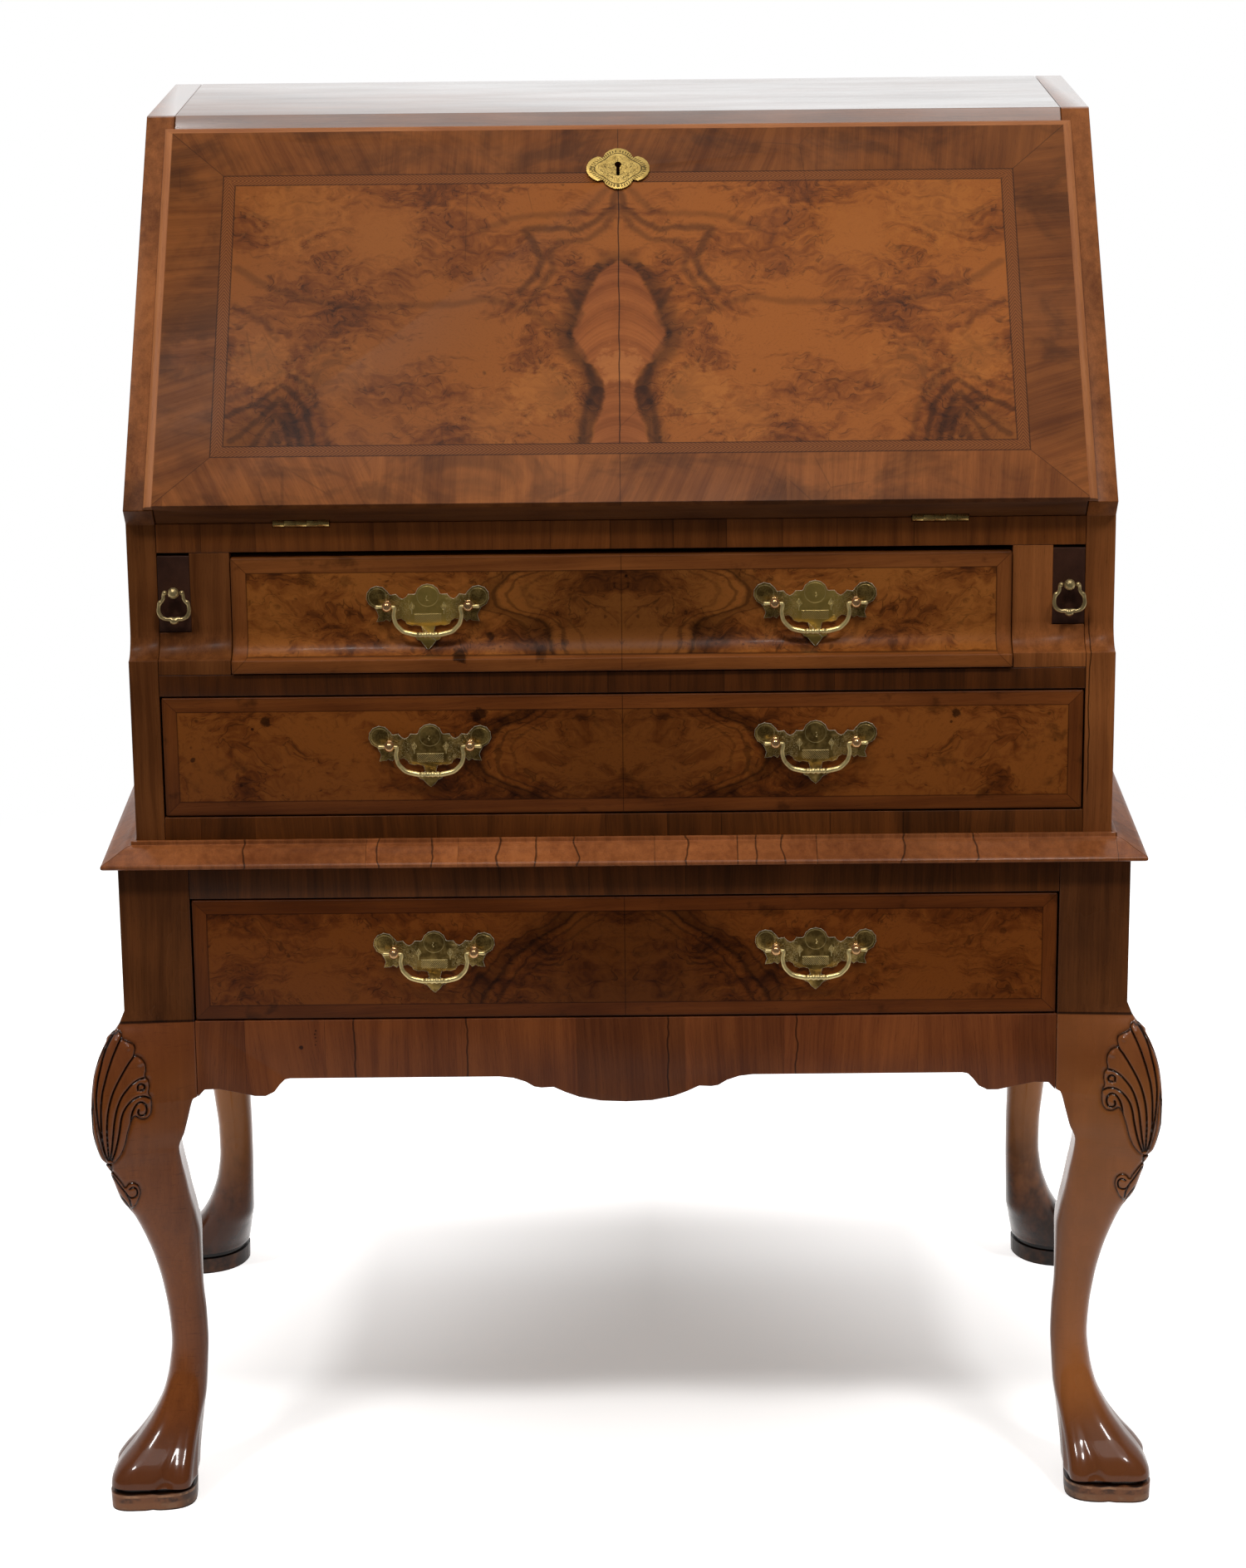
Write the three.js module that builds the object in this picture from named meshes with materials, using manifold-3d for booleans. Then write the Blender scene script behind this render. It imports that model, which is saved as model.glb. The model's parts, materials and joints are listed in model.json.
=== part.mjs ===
// A slant-front desk: a case with a sloping fall and two long drawers, on a stand with one drawer
// and four cabriole legs. Millimetres, x to the right, y to the back, z up, floor at z = 0.
import * as THREE from 'three';
import { mergeVertices } from 'three/addons/utils/BufferGeometryUtils.js';
import Module from 'manifold-3d';

const wasm = await Module();
wasm.setup();

// Driving sizes of the whole desk
const standWidth = 801;
const standDepth = 512;
const standHeight = 546.2;
const caseHeight = 553.5;
const postSize = 56;
const gap = 0.3;

// Stand
const standDrawerRoom = 130.2;
const boardThickness = 22;
const apronThickness = 20;
const apronDepth = 49.5;
const apronEndDrop = 15.2;
const apronEndRun = 74.5;
const apronPendantDrop = 22.2;
const apronPendantRun = 101.6;
const apronFlushness = 2;
const topRailHeight = 28;
const topRailDepth = 30;
const runnerInset = 22.2;
const runnerThickness = 17.7;
const guideHeight = 14.3;

// Case, with heights above its foot
const caseSideInset = 14.5;
const caseFrontInset = 12;
const coveSetBack = 19;
const coveHeight = 21;
const coveTopRise = 184.5;
const deckRise = 268.5;
const dustBoardRise = 151.5;
const bottomBoardRise = 35.5;
const sideThickness = 23;
const bottomBoardThickness = 18;
const bottomRailDepth = 28;
const dustBoardThickness = 10;
const dustRailHeight = 17;
const dustRailDepth = 30;
const deckBoardThickness = 15;
const deckRailHeight = 23;
const deckRailDepth = 28;
const topThickness = 16;
const topDepth = 223.577; // leaves a slope of 45 degrees
const backThickness = 10;
const housingEndRoom = 41;
const stileWidth = 31.5;
const partitionWall = 8;
const loperFloorHeight = 30;

// Moulding between the case and the stand
const mouldingHeight = 17.3;
const mouldingProjection = 26;
const mitreGap = 0.45;

// Fall
const fallThickness = 25;
const lipHeight = 5.2;
const slopeFaceOffset = 19.5;
const fallStart = 0.5;
const fallTopRoom = 0.9;
const lipOverlap = 6.5;
const lipSideOverlap = 7;
const fallPanelInset = 6.4;
const fallSideRoom = 0.8;
const battenDepth = 36;
const lockHalfWidth = 30;
const lockHeight = 55;
const lockThickness = 12;
const boltHalfWidth = 10;
const boltThickness = 7;
const boltLength = 25;
const boltDepth = 3.3;
const boltTravel = 7;
const notchRoom = 3;
const keyholeDrop = 41.5;
const keyholeHeight = 14;
const keyholeWidth = 6;
const escutcheonWidth = 51.4;
const escutcheonHeight = 41;
const escutcheonThickness = 1.5;

// Hinges of the fall
const hingeInset = 114;
const hingeWidth = 44;
const knuckleRadius = 3;
const hingePinRadius = 1.2;
const hingeBoreRadius = 1.6;
const hingeNotchRadius = 3.6;
const hingeLeafThickness = 1.6;
const hingeLeafLength = 28;
const knuckleCount = 5;

// Drawers
const drawerFrontThickness = 22;
const drawerWall = 9;
const drawerFloor = 6.7;
const drawerBackRoom = 34;
const drawerProud = 3;
const drawerSideRoom = 1.5;
const drawerLowRoom = 1.3;
const drawerHighRoom = 1.5;
const boxSideRoom = 0.5;
const boxHeightShare = 0.86;
const fallOpenRoom = 2.4;

// Lopers
const loperWidth = 25.2;
const loperRoom = 0.5;
const loperPullDrop = 28;
const dropPostReach = 7;
const dropKnobRadius = 4.7;
const dropNeckRadius = 2.2;
const dropBoreRadius = 1.9;
const dropHalfWidth = 12;
const dropWire = 1.5;

// Drawer pulls
const pullInset = 211.5;
const postSpacing = 31.75;
const upperPullRise = 52;
const lowerPullRise = 59;
const standPullRise = 58;
const plateThickness = 1.8;
const postReach = 9;
const postBallRadius = 3.75;
const postNeckRadius = 2.2;
const postBoreRadius = 1.7;
const bailWire = 1.6;

// Writing interior
const unitRoom = 9.5;
const unitWall = 6;
const smallDrawerShare = 0.22;
const valanceThickness = 8;
const valanceDrop = 16;
const smallDrawerGap = 0.5;
const smallDrawerBackRoom = 5;
const smallDrawerFront = 10;
const knobRadius = 7;
const knobLength = 12;
const pigeonholeCount = 8;
const smallDrawerCount = 4;

// How finely round forms are divided
const barSides = 6;
const knuckleSides = 10;
const turnedSides = 12;
const arcSteps = 7;
const coveSteps = 6;
const cornerSteps = 3;

// Places in the stand that follow from the sizes
const kneeTop = standHeight - standDrawerRoom;
const apronRise = kneeTop - apronDepth;
const standFront = -standDepth / 2;
const standBack = standDepth / 2;
const postOuter = standWidth / 2;
const postInner = postOuter - postSize;
const backBoardFront = standBack - apronFlushness - apronThickness;

// Places in the case
const caseBottom = standHeight + gap;
const deskHeight = caseBottom + caseHeight;
const deckHeight = caseBottom + deckRise;
const dustBoardTop = caseBottom + dustBoardRise;
const bottomBoardTop = caseBottom + bottomBoardRise;
const coveTop = caseBottom + coveTopRise;
const topUnder = deskHeight - topThickness;
const deckRailLow = deckHeight - deckRailHeight;
const caseFront = standFront + caseFrontInset;
const upperFront = caseFront + coveSetBack;
const topFront = standBack - topDepth;
const backFront = standBack - backThickness;
const boardBack = backFront - gap;
const sideOuter = postOuter - caseSideInset;
const sideInner = sideOuter - sideThickness;
const boardHalfWidth = sideInner - gap;
const loperCentre = boardHalfWidth - loperWidth / 2;
const openingHalfWidth = boardHalfWidth - loperWidth - stileWidth;
const hingeCentre = sideInner - hingeInset;
const pullCentre = sideInner - pullInset;

// The slope runs past the hinge line, at its offset, to the front edge of the top
const slopeRun = new THREE.Vector2(topFront - upperFront, deskHeight - deckHeight);
const slopeRadians = slopeRun.angle() - Math.asin(slopeFaceOffset / slopeRun.length());
const alongSlope = new THREE.Vector2(Math.cos(slopeRadians), Math.sin(slopeRadians));
const battenStart = slopeLengthAt(topUnder, slopeFaceOffset) + fallStart;
const fallEnd = battenStart - fallTopRoom;
const keyholeCentre = battenStart - keyholeDrop;

// The interior
const battenBack = slopePoint(battenStart, slopeFaceOffset)[0] + battenDepth;
const unitFront = battenBack + unitRoom;
const unitTop = topUnder - gap;
const unitBack = boardBack - unitWall;
const smallDrawerTop = deckHeight + (unitTop - deckHeight) * smallDrawerShare;
const pigeonholeFloor = smallDrawerTop + unitWall;
const pigeonholeTop = unitTop - unitWall;

// Drawers and their pulls
const upperDrawer = {
  halfWidth: openingHalfWidth - drawerSideRoom / 2,
  low: dustBoardTop + drawerLowRoom,
  high: deckHeight - fallThickness - fallOpenRoom,
};
const lowerDrawer = {
  halfWidth: sideInner - drawerSideRoom,
  low: bottomBoardTop + drawerLowRoom,
  high: dustBoardTop - dustRailHeight - drawerHighRoom,
};
const standDrawer = {
  halfWidth: postInner - drawerSideRoom,
  low: kneeTop + drawerLowRoom,
  high: standHeight - topRailHeight - drawerHighRoom,
};
const upperPullHeight = dustBoardTop + upperPullRise;
const lowerPullHeight = bottomBoardTop + lowerPullRise;
const standPullHeight = kneeTop + standPullRise;
const loperLow = dustBoardTop + loperFloorHeight + loperRoom;
const loperHigh = deckHeight - fallThickness - loperRoom;
const loperPullHeight = loperHigh - loperPullDrop;

// Leg sections from the knee down: height as a share of the knee height, then outer corner, face,
// side edge and inner corner as shares of the post, then rounding of the outer and other corners
const frontLegShares = [
  [1.0216, 0, 0, -1, -1, 0.03, 0.02],
  [1, 0.071, 0, -1, -1, 0.06, 0.02],
  [0.9808, 0.195, 0, -1, -1, 0.1, 0.02],
  [0.9591, 0.309, 0, -1, -1, 0.14, 0.02],
  [0.9303, 0.421, 0, -1, -1, 0.17, 0.02],
  [0.8966, 0.5, 0, -1, -1, 0.19, 0.02],
  [0.8462, 0.55, 0, -1, -1, 0.2, 0.02],
  [0.8413, 0.552, 0, -0.936, -0.936, 0.2, 0.02],
  [0.8053, 0.552, 0, -0.857, -0.848, 0.21, 0.03],
  [0.774, 0.523, 0, -0.795, -0.786, 0.22, 0.04],
  [0.7428, 0.473, 0.005, -0.711, -0.698, 0.24, 0.06],
  [0.7139, 0.371, 0.009, -0.732, -0.725, 0.26, 0.1],
  [0.6803, 0.304, 0, -0.773, -0.768, 0.28, 0.15],
  [0.6394, 0.214, -0.012, -0.818, -0.818, 0.3, 0.2],
  [0.5913, 0.03, -0.054, -0.882, -0.882, 0.35, 0.3],
  [0.5433, -0.1, -0.143, -0.918, -0.918, 0.4, 0.38],
  [0.4904, -0.22, -0.232, -0.911, -0.911, 0.45, 0.44],
  [0.4279, -0.318, -0.318, -0.907, -0.907, 0.5, 0.5],
  [0.3606, -0.382, -0.382, -0.932, -0.932, 0.5, 0.5],
  [0.3077, -0.402, -0.402, -0.939, -0.939, 0.5, 0.5],
  [0.25, -0.357, -0.357, -0.92, -0.92, 0.5, 0.5],
  [0.2019, -0.268, -0.271, -0.893, -0.898, 0.46, 0.44],
  [0.1562, -0.111, -0.161, -0.821, -0.88, 0.38, 0.3],
  [0.1154, 0.08, -0.018, -0.732, -0.866, 0.32, 0.2],
  [0.0793, 0.33, 0.196, -0.661, -0.85, 0.29, 0.13],
  [0.0577, 0.457, 0.33, -0.616, -0.836, 0.27, 0.1],
  [0.0457, 0.482, 0.366, -0.598, -0.821, 0.26, 0.1],
  [0.0437, 0.429, 0.312, -0.562, -0.777, 0.27, 0.12],
  [0.0365, 0.429, 0.312, -0.562, -0.777, 0.27, 0.12],
  [0.0346, 0.507, 0.4, -0.589, -0.832, 0.27, 0.11],
  [0, 0.493, 0.389, -0.582, -0.825, 0.27, 0.12],
];
const backLegShares = [
  [1.0216, 0, 0, -1, -1, 0.03, 0.02],
  [1, 0.068, 0, -1, -1, 0.06, 0.02],
  [0.9808, 0.17, 0, -1, -1, 0.1, 0.02],
  [0.9591, 0.259, 0, -1, -1, 0.14, 0.02],
  [0.9303, 0.35, 0, -1, -1, 0.18, 0.02],
  [0.8798, 0.438, 0, -1, -1, 0.22, 0.02],
  [0.8413, 0.464, -0.009, -0.968, -0.968, 0.25, 0.06],
  [0.7837, 0.429, -0.018, -0.925, -0.925, 0.28, 0.12],
  [0.7212, 0.312, -0.036, -0.902, -0.902, 0.32, 0.2],
  [0.6538, 0.152, -0.071, -0.893, -0.893, 0.36, 0.28],
  [0.5913, -0.009, -0.116, -0.893, -0.893, 0.4, 0.36],
  [0.5337, -0.146, -0.179, -0.896, -0.896, 0.44, 0.43],
  [0.4712, -0.255, -0.261, -0.9, -0.9, 0.49, 0.49],
  [0.4087, -0.321, -0.321, -0.907, -0.907, 0.5, 0.5],
  [0.3486, -0.366, -0.366, -0.916, -0.916, 0.5, 0.5],
  [0.2981, -0.371, -0.371, -0.916, -0.916, 0.5, 0.5],
  [0.2404, -0.321, -0.321, -0.907, -0.907, 0.5, 0.5],
  [0.1923, -0.214, -0.214, -0.893, -0.893, 0.5, 0.5],
  [0.149, -0.062, -0.062, -0.879, -0.879, 0.5, 0.5],
  [0.1106, 0.143, 0.143, -0.864, -0.864, 0.5, 0.5],
  [0.0793, 0.339, 0.339, -0.85, -0.85, 0.5, 0.5],
  [0.0577, 0.439, 0.439, -0.839, -0.839, 0.5, 0.5],
  [0.0457, 0.457, 0.457, -0.829, -0.829, 0.5, 0.5],
  [0.0437, 0.404, 0.404, -0.779, -0.779, 0.5, 0.5],
  [0.0365, 0.404, 0.404, -0.779, -0.779, 0.5, 0.5],
  [0.0346, 0.478, 0.478, -0.836, -0.836, 0.5, 0.5],
  [0, 0.457, 0.457, -0.829, -0.829, 0.5, 0.5],
];

// Lower edge of an apron: its scrolled ends and its hanging centre
const apronEndShares = [
  [0, 0], [0.075, 0.411], [0.226, 0.437], [0.432, 0.232], [0.617, 0.026],
  [0.732, 0.02], [0.827, 0.258], [0.886, 0.649], [0.944, 0.94], [1, 1],
];
const apronPendantShares = [
  [1, 0], [0.891, 0.059], [0.795, 0.207], [0.726, 0.401], [0.671, 0.441],
  [0.575, 0.419], [0.479, 0.626], [0.369, 0.815], [0.204, 0.959], [0, 1],
];

// Section of the moulding: share of its projection, share of its height
const mouldingShares = [
  [0, 0], [0.945, 0], [0.99, 0.06], [1, 0.16], [0.965, 0.24], [0.81, 0.35],
  [0.6, 0.52], [0.41, 0.7], [0.26, 0.8], [0.14, 0.83], [0.14, 1], [0, 1],
];

// Right half of a pull's back plate, as shares of the distance from its middle to a post
const plateLobeShares = { height: 0.211, radius: 0.309, side: 0.34, sideHeight: 0.262 };
const plateLobeAngles = { start: 90, end: 12 };
const plateEarShares = { centre: 1.238, height: 0.195, radius: 0.28 };
const plateEarAngles = { start: 150, end: -75 };
const plateTopShares = [
  [0.479, 0.265], [0.545, 0.183], [0.63, 0.139], [0.709, 0.183], [0.781, 0.265], [0.929, 0.246],
];
const plateBottomShares = [
  [1.247, -0.189], [1.216, -0.283], [1.266, -0.428], [1.087, -0.409], [1.039, -0.372],
  [0.945, -0.428], [0.882, -0.346], [0.772, -0.378], [0.661, -0.353], [0.567, -0.416],
  [0.529, -0.491], [0.403, -0.535], [0.315, -0.517], [0.173, -0.548], [0.132, -0.709],
  [0.334, -0.787], [0.283, -0.869], [0.186, -0.907], [0.113, -1.008], [0, -1.102],
];

// Right half of a bail from the tip of its pin to the middle: sideways and drop as shares of
// the distance to a post, then thickness as a share of the bail's wire
const bailShares = [
  [1.29, 0, 0.45], [1.25, 0, 1.05], [1.16, 0, 0.8125], [0.86, 0, 0.8125], [0.81, -0.04, 1],
  [0.835, -0.22, 1], [0.79, -0.42, 1.06], [0.69, -0.55, 1.12], [0.56, -0.645, 1.2],
  [0.28, -0.713, 1.3], [0.25, -0.714, 1], [0.2, -0.715, 1.45], [0.13, -0.715, 1.05],
  [0.06, -0.715, 1.5],
];

// Right half of a loper's drop handle, as shares of its half width: from the middle of its pin out
// through a bead, down a flared arm with a leaf tip, round the bottom and in to the middle
const dropShares = [
  [0.42, 0, 0.9], [0.55, 0, 1.5], [0.64, -0.12, 1], [0.66, -0.35, 0.95], [0.76, -0.53, 1],
  [0.9, -0.66, 1.25], [0.97, -0.88, 1], [1, -1.17, 1.1], [0.94, -1.42, 1.15],
  [0.78, -1.63, 1.1], [0.5, -1.75, 1], [0.25, -1.75, 1.3], [0.1, -1.83, 2],
];

// Section of the fall's lip: share of its inset, share of its height
const lipShares = [[0, 0], [0, 0.385], [0.05, 0.5], [0.24, 0.65], [0.56, 0.75], [1, 0.79]];

// Outline of the lock's escutcheon: four lobes with a cusp between each two
const escutcheonLobeShare = 0.62;
const lobeHalfAngle = 75;
const keyholeSlotShare = 0.45;

// Pigeonhole arch: share of the opening's width, share of the valance's drop
const valanceShares = [
  [0, 0], [0.06, 0.25], [0.18, 0.3], [0.26, 0.5], [0.36, 0.8], [0.44, 0.9], [0.5, 1],
  [0.56, 0.9], [0.64, 0.8], [0.74, 0.5], [0.82, 0.3], [0.94, 0.25], [1, 0],
];

// Knob of a small drawer: share of its radius, share of its length
const knobShares = [[0, 0], [0.35, 0], [0.4, 0.3], [0.75, 0.45], [1, 0.7], [0.8, 0.95], [0, 1]];

// Solids

// Turns a closed geometry into a solid that can be joined and cut
function solid(geometry) {
  const bare = geometry.clone();
  bare.deleteAttribute('normal');
  bare.deleteAttribute('uv');
  const merged = mergeVertices(bare);
  return new wasm.Manifold(new wasm.Mesh({
    numProp: 3,
    vertProperties: new Float32Array(merged.attributes.position.array),
    triVerts: new Uint32Array(merged.index.array),
  }));
}

function geometryOf(body) {
  const mesh = body.getMesh();
  const geometry = new THREE.BufferGeometry();
  geometry.setAttribute('position', new THREE.BufferAttribute(new Float32Array(mesh.vertProperties), 3));
  geometry.setIndex(new THREE.BufferAttribute(new Uint32Array(mesh.triVerts), 1));
  geometry.computeVertexNormals();
  return geometry;
}

function join(...bodies) {
  return bodies.reduce((whole, body) => whole.add(body));
}

function cut(body, ...tools) {
  return tools.reduce((rest, tool) => rest.subtract(tool), body);
}

function box(left, right, front, back, low, high) {
  const geometry = new THREE.BoxGeometry(right - left, back - front, high - low);
  geometry.translate((left + right) / 2, (front + back) / 2, (low + high) / 2);
  return solid(geometry);
}

function extrusion(outline, depth, holes) {
  const shape = new THREE.Shape(outline.map(([a, b]) => new THREE.Vector2(a, b)));
  shape.holes = holes.map((hole) => new THREE.Path(hole.map(([a, b]) => new THREE.Vector2(a, b))));
  return new THREE.ExtrudeGeometry(shape, { depth, bevelEnabled: false, curveSegments: 1 });
}

// Runs an outline of y and z from left to right
function alongX(outline, left, right, holes = []) {
  const geometry = extrusion(outline, right - left, holes);
  geometry.applyMatrix4(new THREE.Matrix4().set(0, 0, 1, left, 1, 0, 0, 0, 0, 1, 0, 0, 0, 0, 0, 1));
  return solid(geometry);
}

// Runs an outline of x and z from front to back
function alongY(outline, front, back, holes = []) {
  const geometry = extrusion(outline, back - front, holes);
  geometry.applyMatrix4(new THREE.Matrix4().set(1, 0, 0, 0, 0, 0, -1, back, 0, 1, 0, 0, 0, 0, 0, 1));
  return solid(geometry);
}

// Runs an outline of x and y upwards
function alongZ(outline, low, high, holes = []) {
  const geometry = extrusion(outline, high - low, holes);
  geometry.translate(0, 0, low);
  return solid(geometry);
}

// A round bar along x
function rod(radius, left, right, y, z, sides) {
  const geometry = new THREE.CylinderGeometry(radius, radius, right - left, sides);
  geometry.rotateZ(Math.PI / 2);
  geometry.translate((left + right) / 2, y, z);
  return solid(geometry);
}

// Skins a row of rings that have equally many points, with flat ends
function loft(rings, flatten) {
  const count = rings[0].length;
  const corners = rings.flat();
  const faces = [];
  for (let row = 0; row + 1 < rings.length; row += 1) {
    for (let i = 0; i < count; i += 1) {
      const here = row * count + i;
      const next = row * count + ((i + 1) % count);
      faces.push([here, next, next + count], [here, next + count, here + count]);
    }
  }
  const last = corners.length - count;
  for (const face of ringFaces(rings[0].map(flatten))) {
    faces.push([face[0], face[2], face[1]]);
  }
  for (const face of ringFaces(rings.at(-1).map(flatten))) {
    faces.push(face.map((corner) => corner + last));
  }
  const volume = faces.reduce((sum, [a, b, c]) => (
    sum + corners[a].dot(corners[b].clone().cross(corners[c]))), 0);
  const outward = volume > 0 ? faces : faces.map(([a, b, c]) => [a, c, b]);
  const geometry = new THREE.BufferGeometry().setFromPoints(corners);
  geometry.setIndex(outward.flat());
  return solid(geometry);
}

// Triangles across a flat ring, turned the way the ring runs
function ringFaces(points) {
  const clockwise = THREE.ShapeUtils.isClockWise(points);
  return THREE.ShapeUtils.triangulateShape(points, []).map(([a, b, c]) => (
    THREE.ShapeUtils.isClockWise([points[a], points[b], points[c]]) === clockwise ? [a, b, c] : [a, c, b]));
}

function fromAbove(point) {
  return new THREE.Vector2(point.x, point.y);
}

function fromTheSide(point) {
  return new THREE.Vector2(point.y, point.z);
}

function mirrored(halfOutline) {
  return halfOutline.concat(halfOutline.slice(1, -1).reverse().map(([x, z]) => [-x, z]));
}

function arc(x, z, radius, startAngle, endAngle, steps) {
  return Array.from({ length: steps + 1 }, (_, i) => {
    const turn = THREE.MathUtils.degToRad(startAngle + (endAngle - startAngle) * (i / steps));
    return [x + radius * Math.cos(turn), z + radius * Math.sin(turn)];
  });
}

// Materials

function finish(color, roughness, metalness = 0) {
  return new THREE.MeshStandardMaterial({ color, roughness, metalness });
}

function darkWalnut() {
  return finish(0x4b2d1c, 0.4);
}

function walnut() {
  return finish(0x784119, 0.38);
}

function redWalnut() {
  return finish(0x78462d, 0.35);
}

function burr() {
  return finish(0x965523, 0.3);
}

function oldPine() {
  return finish(0xa98054, 0.7);
}

function brass() {
  return finish(0x968250, 0.3, 1);
}

function iron() {
  return finish(0x5a5650, 0.45, 1);
}

function addPiece(parent, name, body, material) {
  const mesh = new THREE.Mesh(geometryOf(body), material);
  mesh.name = name;
  parent.add(mesh);
  return mesh;
}

// Stand

// One leg section: four corners, each rounded off as a curve, and the middle of each edge
function legSection(shares, height, sideX, sideY) {
  const [, outer, face, side, inner, outerRound, otherRound] = shares;
  const corners = [[outer, outer], [side, face], [inner, inner], [face, side]];
  const rounds = [outerRound, otherRound, otherRound, otherRound];
  const ring = [];
  corners.forEach((corner, i) => {
    const before = corners[(i + 3) % 4];
    const after = corners[(i + 1) % 4];
    const start = corner.map((value, axis) => value + (before[axis] - value) * rounds[i]);
    const end = corner.map((value, axis) => value + (after[axis] - value) * rounds[i]);
    const curve = new THREE.QuadraticBezierCurve(
      new THREE.Vector2(...start), new THREE.Vector2(...corner), new THREE.Vector2(...end));
    const nextStart = after.map((value, axis) => value + (corner[axis] - value) * rounds[(i + 1) % 4]);
    const middle = new THREE.Vector2((end[0] + nextStart[0]) / 2, (end[1] + nextStart[1]) / 2);
    ring.push(...curve.getPoints(cornerSteps), middle);
  });
  return ring.map((point) => new THREE.Vector3(
    sideX * (postOuter + postSize * point.x), sideY * (standBack + postSize * point.y), height));
}

function leg(legShares, sideX, sideY) {
  const rings = legShares.map((shares) => legSection(shares, kneeTop * shares[0], sideX, sideY));
  rings.unshift(legSection(legShares[0], standHeight, sideX, sideY));
  return loft(rings, fromAbove);
}

function apronEnds(halfLength, top) {
  const lower = apronEndShares.map(([along, up]) => [
    halfLength - apronEndRun * along, apronRise - apronEndDrop * (1 - up)]);
  return [[halfLength, top], ...lower];
}

function standApronFront() {
  const ends = apronEnds(postInner - gap, kneeTop - gap);
  const pendant = apronPendantShares.map(([along, down]) => [
    apronPendantRun * along, apronRise - apronPendantDrop * down]);
  const half = [[0, kneeTop - gap], ...ends, ...pendant];
  return alongY(mirrored(half), standFront, standFront + boardThickness);
}

function standBackBoard() {
  const half = [[0, standHeight], ...apronEnds(postInner - gap, standHeight), [0, apronRise]];
  return alongY(mirrored(half), backBoardFront, backBoardFront + apronThickness);
}

function standSide(side) {
  const halfLength = standBack - postSize - gap;
  const half = [[0, standHeight], ...apronEnds(halfLength, standHeight), [0, apronRise]];
  const outer = postOuter - apronFlushness;
  return side > 0
    ? alongX(mirrored(half), outer - apronThickness, outer)
    : alongX(mirrored(half), -outer, apronThickness - outer);
}

function standTopRail() {
  const half = postInner - gap;
  return box(-half, half, standFront, standFront + topRailDepth, standHeight - topRailHeight, standHeight);
}

// A drawer runner with a guide beside it, between the front and back boards
function standRunner(side) {
  const top = kneeTop - gap;
  const bottom = top - runnerThickness;
  const front = standFront + boardThickness + gap;
  const back = backBoardFront - gap;
  const outer = postOuter - apronFlushness - apronThickness - gap;
  const railOuter = postInner - gap;
  const inner = postInner - runnerInset;
  const guideEnd = standBack - postSize - gap;
  const rail = box(inner, railOuter, front, back, bottom, top);
  const guide = alongY([
    [inner, bottom], [outer, bottom], [outer, top + guideHeight],
    [postInner, top + guideHeight], [postInner, top], [inner, top],
  ], -guideEnd, guideEnd);
  const whole = join(rail, guide);
  return side > 0 ? whole : whole.mirror([1, 0, 0]);
}

// Moulding

function mouldingPoint(share, x, y, side) {
  const out = mouldingProjection * share[0];
  return new THREE.Vector3(side * (x + out), -(y + out), caseBottom + mouldingHeight * share[1]);
}

function mouldingFront() {
  const x = sideOuter + gap - mitreGap;
  const y = -caseFront + gap;
  return loft([
    mouldingShares.map((share) => mouldingPoint(share, x, y, -1)),
    mouldingShares.map((share) => mouldingPoint(share, x, y, 1)),
  ], fromTheSide);
}

function mouldingSide(side) {
  const x = sideOuter + gap;
  const y = -caseFront + gap;
  const mitre = mouldingShares.map((share) => mouldingPoint(share, x, y, side));
  const end = mitre.map((point) => new THREE.Vector3(point.x, standBack, point.z));
  return loft([mitre, end], (point) => new THREE.Vector2(point.x, point.z));
}

// Case

// Front profile from below the cove to above it, as y and z
function coveOutline(proud) {
  return Array.from({ length: coveSteps + 1 }, (_, i) => {
    const turn = (Math.PI / 2) * (1 - i / coveSteps);
    return [
      caseFront - proud + coveSetBack * Math.cos(turn),
      coveTop - coveHeight * Math.sin(turn),
    ];
  });
}

// A place on the slope: distance up it from the hinge line, distance out from the hinge plane
function slopePoint(along, out) {
  return [
    upperFront + along * alongSlope.x - out * alongSlope.y,
    deckHeight + along * alongSlope.y + out * alongSlope.x,
  ];
}

// Where the slope's face meets a height
function slopeLengthAt(height, out) {
  return (height - deckHeight - out * alongSlope.x) / alongSlope.y;
}

function caseSide(side) {
  const outline = [
    [caseFront, caseBottom], ...coveOutline(0), [upperFront, deckHeight],
    slopePoint(0, slopeFaceOffset), [topFront, deskHeight],
    [standBack, deskHeight], [standBack, caseBottom],
  ];
  return side > 0
    ? alongX(outline, sideInner, sideOuter)
    : alongX(outline, -sideOuter, -sideInner);
}

// The top board with a batten glued under its front edge, notched for the bolt
function caseTop() {
  const [battenY, battenZ] = slopePoint(battenStart, 0);
  const [boltY] = slopePoint(fallEnd + boltTravel, boltDepth);
  const [, boltZ] = slopePoint(fallEnd + boltTravel, boltDepth + boltThickness);
  const outline = [
    [topFront, deskHeight], slopePoint(battenStart, slopeFaceOffset), [battenY, battenZ],
    [battenBack, battenZ], [battenBack, topUnder], [standBack, topUnder], [standBack, deskHeight],
  ];
  const notch = box(-boltHalfWidth - gap, boltHalfWidth + gap, battenY - battenDepth, boltY + notchRoom,
    battenZ - gap, boltZ + gap);
  return cut(alongX(outline, -boardHalfWidth, boardHalfWidth), notch);
}

function caseBottomBoard() {
  const under = bottomBoardTop - bottomBoardThickness;
  return alongX([
    [caseFront, caseBottom], [caseFront + bottomRailDepth, caseBottom],
    [caseFront + bottomRailDepth, under], [boardBack, under],
    [boardBack, bottomBoardTop], [caseFront, bottomBoardTop],
  ], -boardHalfWidth, boardHalfWidth);
}

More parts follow.
